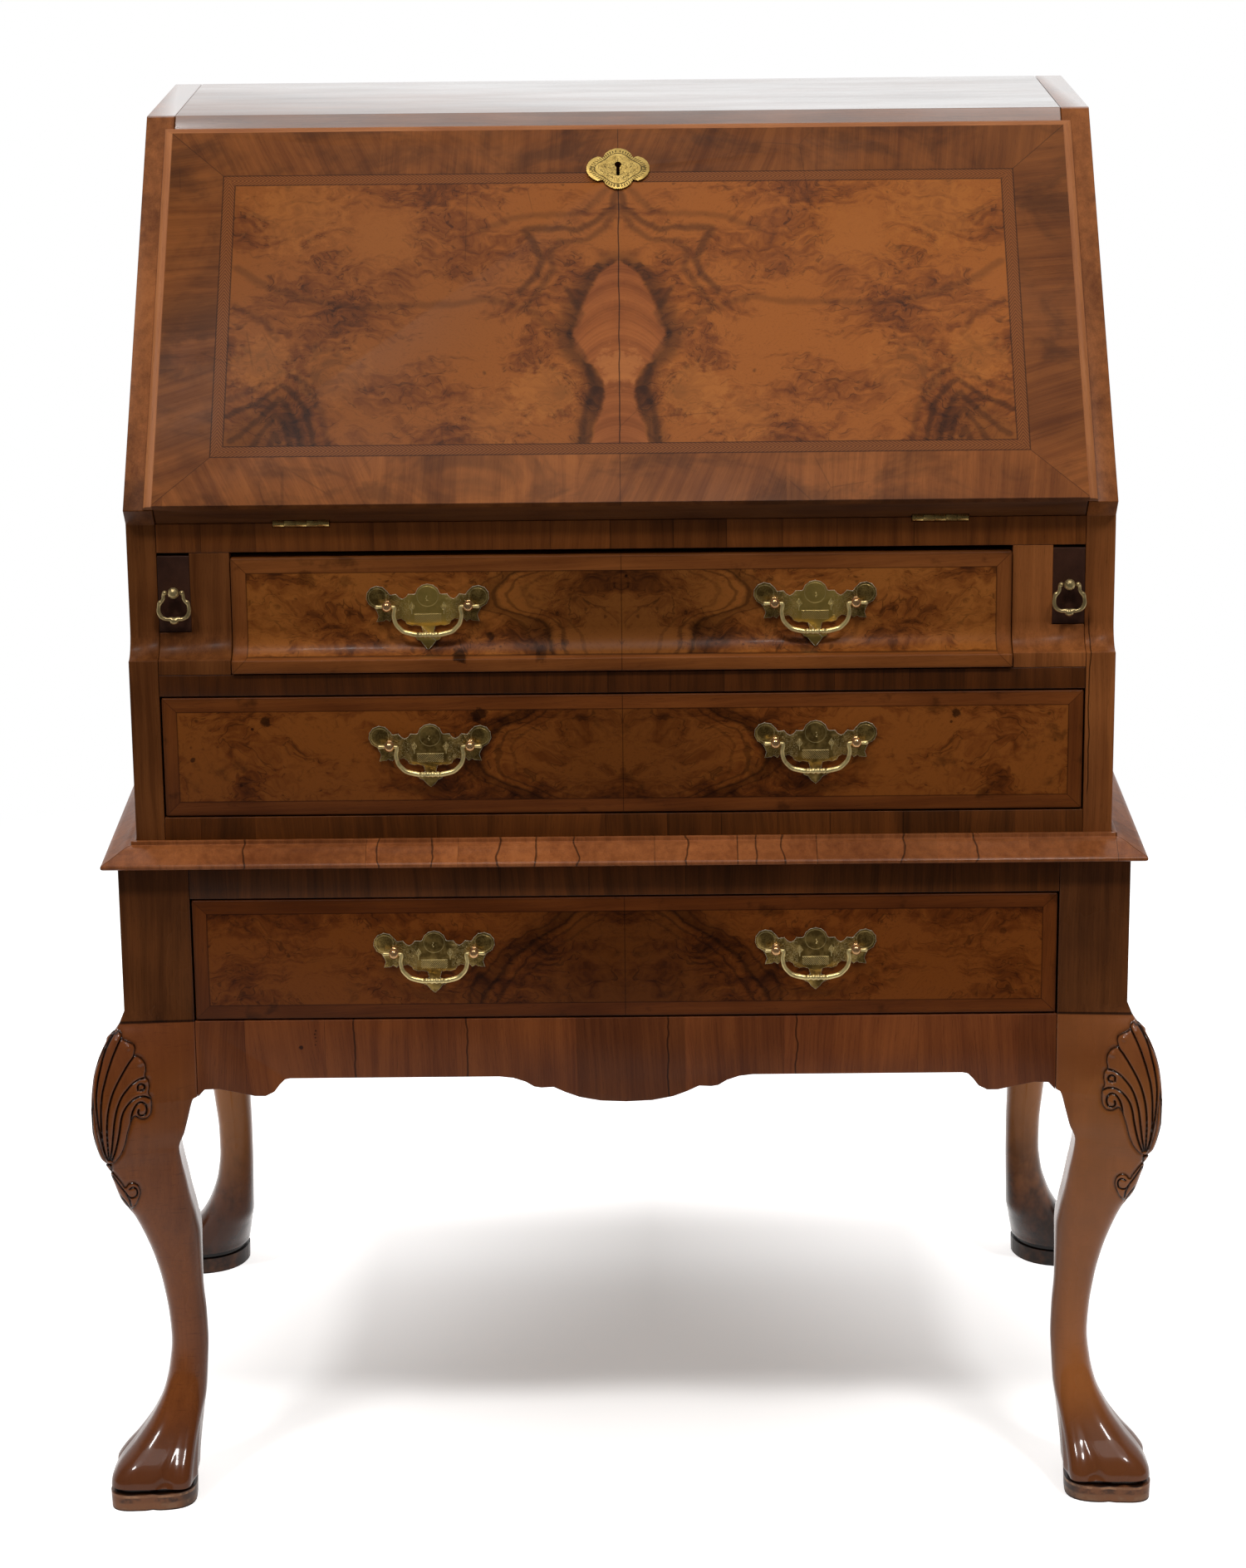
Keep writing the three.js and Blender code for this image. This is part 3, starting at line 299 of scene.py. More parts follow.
    def shiny_ray(self):
        return self.most(self.ray("Is Glossy Ray"), self.ray("Is Transmission Ray"))

    def mixed(self, factor, a, b):
        """A shader between a and b."""
        return self.made("ShaderNodeMixShader", (factor, a, b))


class Material(Graph):
    """A material and the node graph of its surface."""

    def __init__(self, name):
        self.material = bpy.data.materials.new(name)
        self.material.use_nodes = True
        super().__init__(self.material.node_tree)

    def place(self):
        """The point on the part at rest, as x, y and z in millimetres."""
        where = self.made("ShaderNodeTexCoord", output="Object")
        return [part * (1 / MM) for part in self.parts(where)]

    def surface(self, **values):
        inputs = {key.replace("_", " "): value for key, value in values.items()}
        self.end("ShaderNodeOutputMaterial", self.made("ShaderNodeBsdfPrincipled", inputs))
        return self.material


def srgb(red, green, blue):
    """A colour as written for a screen, from 0 to 255, as linear light."""
    return tuple(
        part / 12.92 if part <= 0.04045 else ((part + 0.055) / 1.055) ** 2.4
        for part in (red / 255, green / 255, blue / 255)
    )


# Wood


def grain(g, along, across, depth, dark, light, streak=1.0, seed=0.0):
    """Straight-grained walnut: its colour, and a mask of its pores."""
    place = (along + seed * 97.0, across + seed * 31.0, depth)
    wander = g.sway(place, (0.006, 0.02, 0.02), 14.0)
    bent = (place[0], place[1] + wander, depth)
    bands = g.noise(bent, (0.004, 0.13, 0.13), 3.0, 0.6)
    threads = g.noise(bent, (0.02, 0.9, 0.9), 2.0, 0.6)
    clouds = g.noise(place, (0.011, 0.016, 0.016))
    band_share, thread_share, cloud_share = 0.5 * streak, 0.22 * streak, 0.55
    mixed = bands * band_share + threads * thread_share + clouds * cloud_share
    middle = (band_share + thread_share + cloud_share) / 2
    colour = g.blend(g.smooth(mixed - middle, -0.3, 0.3), dark, light)
    pits = g.smooth(g.noise(bent, (0.11, 2.6, 2.6), 1.0, 0.4), 0.63, 0.72)
    return g.darker(colour, pits, 0.28), pits


def polished(g, colour, pits, rough=0.3, shine=0.14, coat=0.1, extra=0.0):
    """A waxed and polished wood surface, with extra added to its height."""
    place = g.place()
    wear = g.noise(place, 0.02, 3.0, 0.55)
    height = g.noise(place, 0.03, 1.0) * 0.6 - pits * 0.12 + extra
    normal = g.bump(height, 0.0006, 0.35)
    return g.surface(
        Base_Color=colour, Roughness=g.choose(wear, rough - 0.06, rough + 0.12),
        Specular_IOR_Level=shine, Normal=normal,
        Coat_Weight=coat, Coat_Roughness=0.08, Coat_IOR=1.4, Coat_Normal=normal,
    )


def spot(g, across, up, middle, radius):
    """A round mark with a ragged rim that fades."""
    away = g.away(across - middle[0], up - middle[1])
    ragged = g.sway((across, up, radius), (0.11, 0.11, 1.0), radius * 2.4, 4.0, 0.65)
    return g.smooth(away + ragged, radius, radius * 0.5)


def marked(g, colour, across, up, marks):
    """The colour with dark marks, each of a place across and up, a radius and a strength."""
    for *middle, radius, strength in marks:
        colour = g.darker(colour, spot(g, across, up, middle, radius), strength)
    return colour


def plain_walnut(name, axis, dark, light, streak, seed):
    """Walnut whose grain runs along x or y."""
    g = Material(name)
    x, y, z = g.place()
    along, across = (x, y) if axis == "x" else (y, x)
    colour, pits = grain(g, along, across, z, dark, light, streak, seed)
    return polished(g, colour, pits)


def pine(name, board=None):
    """Unpolished pine, in boards of a height that lie one over another if one is given."""
    g = Material(name)
    x, y, z = g.place()
    number = g.math("FLOOR", z / board) if board else 0.0
    dark, light = srgb(128, 88, 48), srgb(182, 138, 86)
    colour, pits = grain(g, x + number * 713.0, y, z, dark, light, 1.2)
    grime = g.noise((x, y, z), 0.012, 4.0, 0.6)
    colour = g.darker(colour, g.smooth(grime, 0.45, 0.75), 0.35)
    height = grime - pits
    if board:
        colour = g.darker(colour, g.hashed(number), 0.22)
        part = g.math("FRACT", z / board)
        seam = g.smooth(g.least(part, 1.0 - part), 1.6 / board, 0.6 / board)
        colour = g.darker(colour, seam, 0.8)
        height = height - seam * 2.0
    return g.surface(Base_Color=colour, Roughness=0.72, Normal=g.bump(height, 0.0005, 0.4))


# Metal


def metal_surface(g, colour, rough, height, depth=0.0004, strength=0.25, metallic=0.9):
    normal = g.bump(height, depth, strength)
    return g.surface(Base_Color=colour, Metallic=metallic, Roughness=rough, Normal=normal)


def brass(name, rough=0.2, tone=srgb(206, 172, 104), metallic=0.9):
    g = Material(name)
    place = g.place()
    tarnish = g.noise(place, 0.12, 4.0, 0.6)
    dull = tuple(part * 0.55 for part in tone)
    colour = g.blend(g.smooth(tarnish, 0.4, 0.75), tone, dull)
    rough = g.choose(tarnish, rough - 0.05, rough + 0.16)
    return metal_surface(g, colour, rough, g.noise(place, 0.5), metallic=metallic)


def iron(name):
    g = Material(name)
    rust = g.noise(g.place(), 0.15, 5.0, 0.65)
    colour = g.blend(g.smooth(rust, 0.45, 0.7), srgb(86, 82, 78), srgb(92, 58, 38))
    return metal_surface(g, colour, g.choose(rust, 0.35, 0.7), rust, 0.0004, 0.4, 0.8)


def ring_line(g, across, up, middle, radius, half):
    """A thin engraved circle."""
    return g.line(g.away(across - middle[0], up - middle[1]), radius, half, 0.25)


def engraved_brass():
    """A back plate: dark patina with worn engraving and a painted gleam on the upper row, placed from
    the middle of its pull.
    """
    g = Material("engraved_brass")
    x, y, z = g.place()
    over_stand = (ROW_LEVEL["stand"] + ROW_LEVEL["lower"]) / 2
    over_lower = (ROW_LEVEL["lower"] + ROW_LEVEL["upper"]) / 2
    in_upper = g.smooth(z, over_lower - 0.5, over_lower + 0.5)
    level = g.choose(in_upper, ROW_LEVEL["lower"], ROW_LEVEL["upper"])
    above_stand = g.smooth(z, over_stand - 0.5, over_stand + 0.5)
    up = z - g.choose(above_stand, ROW_LEVEL["stand"], level)
    across = abs(x) - PULL_X
    side = abs(across)
    flat = (across, up, 0.0)

    # Circles on the lobes, a lozenge of dots, and a hatched block under a line
    lobe = ring_line(g, side, up, (39.3, 6.2), 6.9, 0.12)
    crest = ring_line(g, side, up, (0.0, 6.7), 8.2, 0.12)
    cuts = g.most(lobe, crest) * 0.5
    dots = g.smooth(g.cells(flat, 0.62), 0.45, 0.3)
    cuts = g.most(cuts, dots * g.smooth(side + abs(up - 4.5), 3.4, 2.9))
    block = g.smooth(side, 10.7, 10.3)
    hatch = g.smooth(g.sine((across + up) * 3.7), 0.0, 0.6)
    cuts = g.most(cuts, hatch * block * g.between(up, -14.5, -8.0, 0.2))
    cuts = g.most(cuts, g.line(up, -7.4, 0.15, 0.2) * block)

    # Two trees, and scrolls toward the lobes
    tree = 12.6
    trunk = g.line(side, tree, 0.25, 0.25) * g.between(up, -7.5, -3.0, 0.3)
    leaves = g.smooth(g.noise(flat, 1.4, 1.0), 0.45, 0.55)
    crown = g.smooth(abs(side - tree) + abs(up + 1.6) * 0.7, 3.0, 2.4)
    cuts = g.most(cuts, g.most(trunk, leaves * crown))
    curls = g.line(g.noise(flat, (0.42, 0.5, 1.0), 2.0, 0.5, 1.2), 0.5, 0.012, 0.012)
    cuts = g.most(cuts, curls * 0.8 * g.between(side, 14.0, 33.0, 1.0))

    rubbed = g.noise((x, y, z), 0.16, 3.0, 0.6)
    patina = g.blend(g.smooth(rubbed, 0.35, 0.7), srgb(128, 102, 52), srgb(192, 158, 88))
    # Painted reflection: a bright gleam about the middle of the upper row's plates
    painted_gleam = in_upper * g.smooth(side, 30.0, 16.0)
    patina = g.blend(painted_gleam * 0.7, patina, srgb(236, 200, 104))
    grime = g.smooth(g.noise(flat, 0.9, 3.0, 0.6), 0.5, 0.62)
    patina = g.darker(patina, grime * g.smooth(side, 14.0, 30.0), 0.5)
    colour = g.blend(cuts * 0.75, patina, srgb(236, 214, 150))
    height = rubbed * 0.3 - cuts * 0.5
    return metal_surface(g, colour, g.choose(cuts, 0.3, 0.42), height, 0.0006, 0.6)


def engraved_escutcheon():
    """The escutcheon's face, with a border line, hatching outside it and two pins."""
    g = Material("engraved_escutcheon")
    x, along, out = on_slope(g)
    side, rise = abs(x), along - KEYHOLE_UP
    a, b = side / 25.7, rise / 20.5
    away = g.away(a, b)
    turn = g.math("ARCTAN2", b, a)
    beyond = away - (g.math("COSINE", turn * 4.0) * 0.07 + 0.68)
    cuts = g.line(beyond, 0.0, 0.012, 0.014)
    ticks = g.smooth(g.sine(turn * 56.0), 0.0, 0.6)
    cuts = g.most(cuts, ticks * g.between(beyond, 0.05, 0.16, 0.02))
    curls = g.line(g.noise((side, rise, 0.0), 0.4, 2.0, 0.5, 1.0), 0.5, 0.012, 0.012)
    cuts = g.most(cuts, curls * g.smooth(away, 0.66, 0.6))
    cuts = g.most(cuts, ring_line(g, side, rise, (20.5, 0.0), 1.7, 0.3))
    rubbed = g.noise((x, along, out), 0.16, 3.0, 0.6)
    metal = g.blend(g.smooth(rubbed, 0.35, 0.7), srgb(150, 124, 66), srgb(178, 150, 84))
    height = rubbed * 0.3 - cuts * 0.5
    return metal_surface(g, g.darker(metal, cuts, 0.75), 0.34, height, 0.0006, 0.6)


# Meshes


def placed(name, data):
    """A new object of the scene."""
    obj = bpy.data.objects.new(name, data)
    bpy.context.scene.collection.objects.link(obj)
    return obj


def new_object(name, mesh, material, node=None, body=None):
    """A piece that stands for a CAD node, or one beside them that rides on a body."""
    obj = placed(name, mesh)
    obj.data.materials.append(material)
    if node:
        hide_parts(node)
    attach(obj, body or body_of_node[node])
    return obj


def mesh_of(form, name):
    """The form as a new mesh."""
    mesh = bpy.data.meshes.new(name)
    form.to_mesh(mesh)
    form.free()
    return mesh


def bare_copy(node):
    """The CAD node's solid as a mesh of whole faces."""
    form = bmesh.new()
    form.from_mesh(nodes[node].data)
    bmesh.ops.remove_doubles(form, verts=form.verts, dist=2e-6)
    bmesh.ops.dissolve_limit(
        form, angle_limit=math.radians(0.6), verts=form.verts, edges=form.edges
    )
    return mesh_of(form, node + "_face")


def softened(node, width, material, rim=None):
    """The CAD node with its edges worn round, in place of the node. Rim is the edges' material."""
    mesh = bare_copy(node)
    mesh.polygons.foreach_set("use_smooth", [True] * len(mesh.polygons))
    obj = new_object(node + "_worn", mesh, material, node)
    bevel = obj.modifiers.new("worn edges", "BEVEL")
    bevel.width = width * MM
    bevel.segments = 2
    bevel.limit_method = "ANGLE"
    bevel.angle_limit = math.radians(25)
    bevel.harden_normals = True
    bevel.use_clamp_overlap = True
    if rim:
        obj.data.materials.append(rim)
        bevel.material = 1
    return obj


def spline(points, pieces=5):
    """A smooth line through the points, each stretch in several pieces."""
    spots = np.array(points, float)
    spots = np.concatenate([[2 * spots[0] - spots[1]], spots, [2 * spots[-1] - spots[-2]]])
    made = []
    for a, b, c, d in zip(spots[:-3], spots[1:-2], spots[2:-1], spots[3:]):
        t = np.linspace(0, 1, pieces, endpoint=False)[:, None]
        made.append(
            0.5 * (2 * b + (c - a) * t + (2 * a - 5 * b + 4 * c - d) * t**2
                   + (3 * b - a - 3 * c + d) * t**3)
        )
    made.append(spots[-2:-1])
    return np.concatenate(made)


def ringed(name, rings):
    """A closed mesh whose skin joins rings of points."""
    rows, count = rings.shape[:2]
    faces = []
    for row in range(rows - 1):
        for i in range(count):
            here, after = row * count + i, row * count + (i + 1) % count
            faces.append((here, after, after + count, here + count))
    faces.append(tuple(range(count)))
    faces.append(tuple(range((rows - 1) * count, rows * count)))
    mesh = bpy.data.meshes.new(name)
    mesh.from_pydata((rings.reshape(-1, 3) * MM).tolist(), [], faces)
    form = bmesh.new()
    form.from_mesh(mesh)
    bmesh.ops.recalc_face_normals(form, faces=form.faces)
    form.to_mesh(mesh)
    form.free()
    mesh.polygons.foreach_set("use_smooth", [True] * len(mesh.polygons))
    return mesh


# Half a bail and half a drop, from the pin to the middle: across and up as shares of the
# handle's size, and the radius as a share of the wire's
BAIL = [
    (1.29, 0, 0.45), (1.25, 0, 1.05), (1.16, 0, 0.8125), (0.86, 0, 0.8125), (0.81, -0.04, 1),
    (0.835, -0.22, 1), (0.79, -0.42, 1.06), (0.69, -0.55, 1.12), (0.56, -0.645, 1.2),
    (0.28, -0.713, 1.3), (0.25, -0.714, 1), (0.2, -0.715, 1.45), (0.13, -0.715, 1.05),
    (0.06, -0.715, 1.5), (0, -0.715, 1.1),
]
DROP = [
    (0.42, 0, 0.9), (0.55, 0, 1.5), (0.64, -0.12, 1), (0.66, -0.35, 0.95), (0.76, -0.53, 1),
    (0.9, -0.66, 1.25), (0.97, -0.88, 1), (1, -1.17, 1.1), (0.94, -1.42, 1.15),
    (0.78, -1.63, 1.1), (0.5, -1.75, 1), (0.25, -1.75, 1.3), (0.1, -1.83, 2), (0, -1.85, 2.1),
]
# A post's head from the drawer's face out: reach and radius
POST_HEAD = [
    (1.2, 0.0), (1.2, 3.0), (1.9, 3.2), (2.4, 2.4), (3.6, 1.9), (5.0, 2.1), (5.6, 2.9), (6.6, 3.6),
    (7.8, 3.95), (9.0, 4.0), (10.2, 3.85), (11.3, 3.3), (12.1, 2.4), (12.5, 1.3), (12.7, 0.0),
]


def turned_handle(node, half, size, wire, centre, material, sides=18):
    """A cast handle of round section, in place of the node, that hangs in an upright plane."""
    whole = half + [(-a, b, width) for a, b, width in half[-2::-1]]
    line = spline([(a * size, b * size, width * wire) for a, b, width in whole], 4)
    run = np.gradient(line[:, :2], axis=0)
    run /= np.linalg.norm(run, axis=1, keepdims=True)
    turn = np.linspace(0, 2 * np.pi, sides, endpoint=False)
    a, b, radius = line.T[:, :, None]
    da, db = run.T[:, :, None]
    across = a - db * radius * np.cos(turn)
    up = b + da * radius * np.cos(turn)
    rings = np.stack([across, radius * np.sin(turn), up], 2) + centre
    return new_object(node + "_turned", ringed(node + "_turned", rings), material, node)


def post_head(name, centre, body, material, sides=28):
    """A turned head over the post that a bail swings from."""
    reach, radius = spline(POST_HEAD, 3).T[:, :, None]
    radius = np.maximum(radius, 0.01)
    turn = np.linspace(0, 2 * np.pi, sides, endpoint=False)
    rings = [radius * np.cos(turn), -reach + 0 * turn, radius * np.sin(turn)]
    return new_object(name, ringed(name, np.stack(rings, 2) + centre), material, None, body)


# Legs

# Height, then outer corner, face, side edge and inner corner as shares of the post, then rounding
# of the outer corner and of the others, from the sole up
FRONT_LEG = [
    (0, 0.487, 0.42, -0.78, -0.72, 0.27, 0.4),
    (14.4, 0.495, 0.43, -0.79, -0.73, 0.27, 0.4),
    (15.2, 0.425, 0.35, -0.73, -0.69, 0.27, 0.38),
    (18.2, 0.425, 0.35, -0.73, -0.69, 0.27, 0.38),
    (19, 0.475, 0.46, -0.7, -0.8, 0.27, 0.14),
    (24, 0.466, 0.45, -0.705, -0.82, 0.28, 0.14),
    (33, 0.4, 0.35, -0.715, -0.83, 0.32, 0.15),
    (48, 0.15, 0.11, -0.745, -0.85, 0.38, 0.18),
    (65, -0.09, -0.11, -0.81, -0.87, 0.43, 0.26),
    (84, -0.268, -0.271, -0.893, -0.898, 0.46, 0.44),
    (104, -0.357, -0.357, -0.92, -0.92, 0.5, 0.5),
    (128, -0.402, -0.402, -0.939, -0.939, 0.5, 0.5),
    (150, -0.382, -0.382, -0.932, -0.932, 0.5, 0.5),
    (178, -0.318, -0.318, -0.907, -0.907, 0.5, 0.5),
    (204, -0.22, -0.232, -0.911, -0.911, 0.45, 0.44),
    (226, -0.1, -0.143, -0.918, -0.918, 0.4, 0.38),
    (246, 0.03, -0.054, -0.882, -0.882, 0.35, 0.3),
    (266, 0.214, -0.012, -0.818, -0.818, 0.3, 0.2),
    (283, 0.304, 0.022, -0.773, -0.768, 0.28, 0.15),
    (297, 0.371, 0.045, -0.732, -0.725, 0.26, 0.1),
    (309, 0.473, 0.06, -0.711, -0.698, 0.24, 0.06),
    (322, 0.523, 0.06, -0.795, -0.786, 0.22, 0.04),
    (335, 0.552, 0.045, -0.857, -0.848, 0.21, 0.03),
    (350, 0.552, 0.023, -0.936, -0.936, 0.2, 0.02),
    (352, 0.55, 0, -1, -1, 0.2, 0.02),
    (373, 0.5, 0, -1, -1, 0.19, 0.02),
    (387, 0.421, 0, -1, -1, 0.17, 0.02),
    (399, 0.309, 0, -1, -1, 0.14, 0.02),
    (408, 0.195, 0, -1, -1, 0.1, 0.02),
    (416, 0.071, 0, -1, -1, 0.06, 0.02),
    (425, 0, 0, -1, -1, 0.03, 0.02),
    (546.2, 0, 0, -1, -1, 0.03, 0.02),
]
BACK_LEG = [
    (0, 0.457, 0.457, -0.829, -0.6, 0.5, 0.5),
    (14.4, 0.478, 0.478, -0.836, -0.61, 0.5, 0.5),
    (15.2, 0.404, 0.404, -0.779, -0.57, 0.5, 0.5),
    (18.2, 0.404, 0.404, -0.779, -0.57, 0.5, 0.5),
    (19, 0.457, 0.457, -0.829, -0.61, 0.5, 0.5),
    (24, 0.439, 0.439, -0.839, -0.64, 0.5, 0.5),
    (33, 0.339, 0.339, -0.85, -0.7, 0.5, 0.5),
    (46, 0.143, 0.143, -0.864, -0.78, 0.5, 0.5),
    (62, -0.062, -0.062, -0.879, -0.879, 0.5, 0.5),
    (80, -0.214, -0.214, -0.893, -0.893, 0.5, 0.5),
    (100, -0.321, -0.321, -0.907, -0.907, 0.5, 0.5),
    (124, -0.371, -0.371, -0.916, -0.916, 0.5, 0.5),
    (145, -0.366, -0.366, -0.916, -0.916, 0.5, 0.5),
    (170, -0.321, -0.321, -0.907, -0.907, 0.5, 0.5),
    (196, -0.255, -0.261, -0.9, -0.9, 0.49, 0.49),
    (222, -0.146, -0.179, -0.896, -0.896, 0.44, 0.43),
    (246, -0.009, -0.116, -0.893, -0.893, 0.4, 0.36),
    (272, 0.152, -0.071, -0.893, -0.893, 0.36, 0.28),
    (300, 0.312, -0.036, -0.902, -0.902, 0.32, 0.2),
    (326, 0.429, -0.018, -0.925, -0.925, 0.28, 0.12),
    (350, 0.464, -0.009, -0.968, -0.968, 0.25, 0.06),
    (366, 0.438, 0, -1, -1, 0.22, 0.02),
    (387, 0.35, 0, -1, -1, 0.18, 0.02),
    (399, 0.259, 0, -1, -1, 0.14, 0.02),
    (408, 0.17, 0, -1, -1, 0.1, 0.02),
    (416, 0.068, 0, -1, -1, 0.06, 0.02),
    (425, 0, 0, -1, -1, 0.03, 0.02),
    (546.2, 0, 0, -1, -1, 0.03, 0.02),
]

# The front knees' carving, as curves of millimetres out from the post and up from the floor
SHELL_OUTLINE = [
    (15.3, 301), (17.5, 306.3), (20.1, 315.9), (22.5, 329.5), (23.7, 344.5), (24.9, 358),
    (24.6, 371), (22.5, 382.6), (19.8, 394), (16.6, 402.3), (13.2, 407.3), (9.8, 410),
    (6.3, 409.2), (4.4, 411.2), (1.7, 409.1), (1, 406.1), (-1.6, 404.1), (-4.8, 402.7),
    (-8.1, 400.6), (-9.3, 397.3), (-8.6, 392.9), (-11.2, 391.3), (-14.3, 389), (-16.8, 384.7),
    (-17.3, 379.2), (-16.5, 374.6), (-18.9, 370.8), (-19.4, 365.2), (-18.6, 360.4),
    (-20.3, 356), (-20.6, 349.3), (-19.7, 342.9), (-16.3, 339.1), (-11.8, 339.1),
    (-7.5, 342), (-5.5, 340.1), (-3.3, 334.7), (-1.1, 327.7), (0.6, 320.6), (2.8, 314.3),
    (5.7, 308.7), (9.8, 304), (15.3, 301),
]
SHELL_GROOVES = [
    [(16.6, 308.8), (19, 322), (20.8, 336.1), (21.8, 349.6), (21.8, 361.8), (20.1, 374.6),
     (17.9, 384.2), (15.3, 393.9), (11.5, 402.8), (8.3, 408)],
    [(15.5, 306.3), (17.5, 315), (18.7, 326.4), (18.8, 337.4), (18.6, 348), (18, 356.3),
     (16.7, 365.1), (14.8, 372.4), (12.8, 379.5), (10.7, 385.8), (8.7, 391.4), (6.1, 397.4),
     (3.6, 402.7), (1.7, 406.2)],
    [(14.5, 306.2), (14.7, 318.5), (14.6, 331.8), (13.7, 343.8), (12, 352.9), (9.5, 361.5),
     (6.7, 368), (3.3, 374.4), (0, 380), (-4, 386.2), (-7.3, 390.4), (-8.6, 393.5)],
    [(13.5, 306.1), (11.6, 316.5), (10, 328.1), (8.5, 339.4), (6.1, 349.8), (2.6, 358.5),
     (-1.4, 364.1), (-6.1, 369), (-10.7, 371.9), (-15.8, 373.3)],
    [(12.3, 305.2), (9.3, 313.1), (6.9, 321.7), (4.8, 331.6), (3.4, 340.1), (1.2, 346.9),
     (-2.3, 352.3), (-6.3, 355.9), (-10.8, 358), (-15.3, 357.7), (-19.7, 355.4)],
    [(-4, 336), (-4.7, 342.4), (-6.5, 347.9), (-9.3, 352), (-12.5, 353.3), (-15.6, 350.9),
     (-16.6, 346.3), (-15.2, 342.6), (-12, 342), (-9.9, 344.1), (-10.3, 347.2)],
    [(-10.4, 363.6), (-10.5, 367.1), (-13.1, 368.5), (-15.6, 366.4), (-14.8, 363.4), (-12.3, 363.4)],
]
HUSK_OUTLINE = [
    (16.2, 293.1), (17.8, 289.1), (17, 282.7), (15.5, 275.4), (14, 268.9), (12.5, 263.8),
    (10.3, 258.4), (7.7, 251.1), (4.8, 246.6), (2.8, 252.9), (1.8, 256.5), (-2.2, 260.2),
    (-4.5, 263.6), (-6.8, 268.9), (-8.1, 274.1), (-6.8, 279.6), (-3.1, 282.7), (0.9, 282.1),
    (3.7, 279.2), (6, 283.3), (9, 288.1), (12.8, 292.7), (16.2, 293.1),
]
HUSK_GROOVES = [
    [(15.9, 287.5), (13.7, 281.1), (10.9, 274.5), (7.3, 268.8), (4.3, 264.2), (2.2, 258.5)],
    [(17, 284), (15.5, 276.2), (13.3, 269.7), (9.9, 262.9), (6.6, 255.6), (4.4, 250.2)],
    [(13, 290), (10, 284.7), (7, 279.2), (4, 274.4), (1.6, 270.4), (-1.6, 269.1),
     (-5, 271.4), (-5.3, 276), (-2.8, 278.6), (0.5, 277.4)],
    [(3.5, 272.8), (1.2, 267.2), (0.5, 261)],
]
BEAD_OUTLINE = [
    (17.5, 300.6), (18.8, 297.2), (17.4, 293.9), (14.8, 293.9), (13.5, 297.4), (14.2, 300.6),
    (17.5, 300.6),
]
RIB_TIPS = [
    (14.5, 399, 0.8), (5.5, 405, 1.3), (-3.5, 399, 1.4), (-12.5, 386, 1.5), (-16, 370, 1.1),
    (-13, 361, 1.0), (-17, 352, 0.8), (-13, 346.5, 1.1), (-2, 276, 0.8),
]

# Heights between which the knee is carved, and the spacing of the rings below it
KNEE_FROM, KNEE_TO = 240.0, 414.0
BELOW_KNEE = 3.0

# Spacing of the rings at the knee, points on the outer corner, and points on the near part of
# the faces beside it
LEG_DETAIL = {"front": (0.65, 49, 88), "back": (5.0, 13, 10)}
NEAR_PART = 0.66

# Points on the plain corners, and places of the points along the plain faces
PLAIN_STEPS = 9
SIDE_PLACES = np.linspace(0, 1, 14)[1:-1]

# Rounding of the inner corner where the leg is slim
SLIM_ROUND = 0.42


def eased(table, heights):
    """The table's columns at each height, along smooth curves that don't overshoot."""
    table = np.array(table)
    known = table[:, 0]
    steps = np.diff(known)
    i = np.clip(np.searchsorted(known, heights, side="right") - 1, 0, len(steps) - 1)
    t = (heights - known[i]) / steps[i]
    from_here, from_next = 2 * t**3 - 3 * t**2 + 1, 3 * t**2 - 2 * t**3
    slope_here, slope_next = t**3 - 2 * t**2 + t, t**3 - t**2
    columns = []
    for column in table[:, 1:].T:
        slopes = np.diff(column) / steps
        tangents = np.zeros(len(known))
        same = slopes[:-1] * slopes[1:] > 0
        before, after = slopes[:-1][same], slopes[1:][same]
        tangents[1:-1][same] = 2 * before * after / (before + after)
        columns.append(
            from_here * column[i] + slope_here * steps[i] * tangents[i]
            + from_next * column[i + 1] + slope_next * steps[i] * tangents[i + 1]
        )
    return np.array(columns).T


def away_from(line, u, z):
    """How far each point is from a line of short pieces."""
    nearest = np.full(u.shape, 1e9)
    for (a, b), (c, d) in zip(line[:-1], line[1:]):
        run = (c - a) ** 2 + (d - b) ** 2 + 1e-12
        t = np.clip(((u - a) * (c - a) + (z - b) * (d - b)) / run, 0, 1)
        nearest = np.minimum(nearest, (u - a - t * (c - a)) ** 2 + (z - b - t * (d - b)) ** 2)
    return np.sqrt(nearest)


def inside(line, u, z):
    """Where points lie within a closed line."""
    within = np.zeros(u.shape, bool)
    for (a, b), (c, d) in zip(line[:-1], line[1:]):
        crosses = (b > z) != (d > z)
        at = a + (z - b) * (c - a) / (d - b if d != b else 1e-9)
        within ^= crosses & (u < at)
    return within


def knee_carving(u, z):
    """How far the carving stands out of the knee, and the painted shade in its hollows."""
    lift = np.zeros(u.shape)
    dark = np.zeros(u.shape)
    for outline, grooves, half in (
        (SHELL_OUTLINE, SHELL_GROOVES, 2.3),
        (HUSK_OUTLINE, HUSK_GROOVES, 1.5),
        (BEAD_OUTLINE, [], 1.9),
    ):
        edge = spline(outline)
        rim = away_from(edge, u, z)
        within = inside(edge, u, z)
        near = np.minimum.reduce([rim] + [away_from(spline(g), u, z) for g in grooves])
        round_off = np.sqrt(np.clip(1 - (1 - np.clip(near / half, 0, 1)) ** 2, 0, 1))
        lift = np.where(within, -1.6 + (0.7 + 0.75 * half) * round_off, lift)
        lift = np.where(within, lift, lift - 1.0 * np.exp(-((rim / 1.8) ** 2)))
        # Painted shade in the grooves between the ribs
        hollow_shade = np.exp(-((near / 1.0) ** 2))
        # Painted shade in the cut round the outside of the carving's outline
        stain_and_shade = 0.6 * np.exp(-rim / 1.5) * (z < 412)
        dark = np.maximum(dark, np.where(within, hollow_shade, stain_and_shade))
    for a, b, tall in RIB_TIPS:
        lift += tall * np.exp(-(((u - a) / 2.3) ** 2) - ((z - b) / 2.3) ** 2)
    return lift, dark


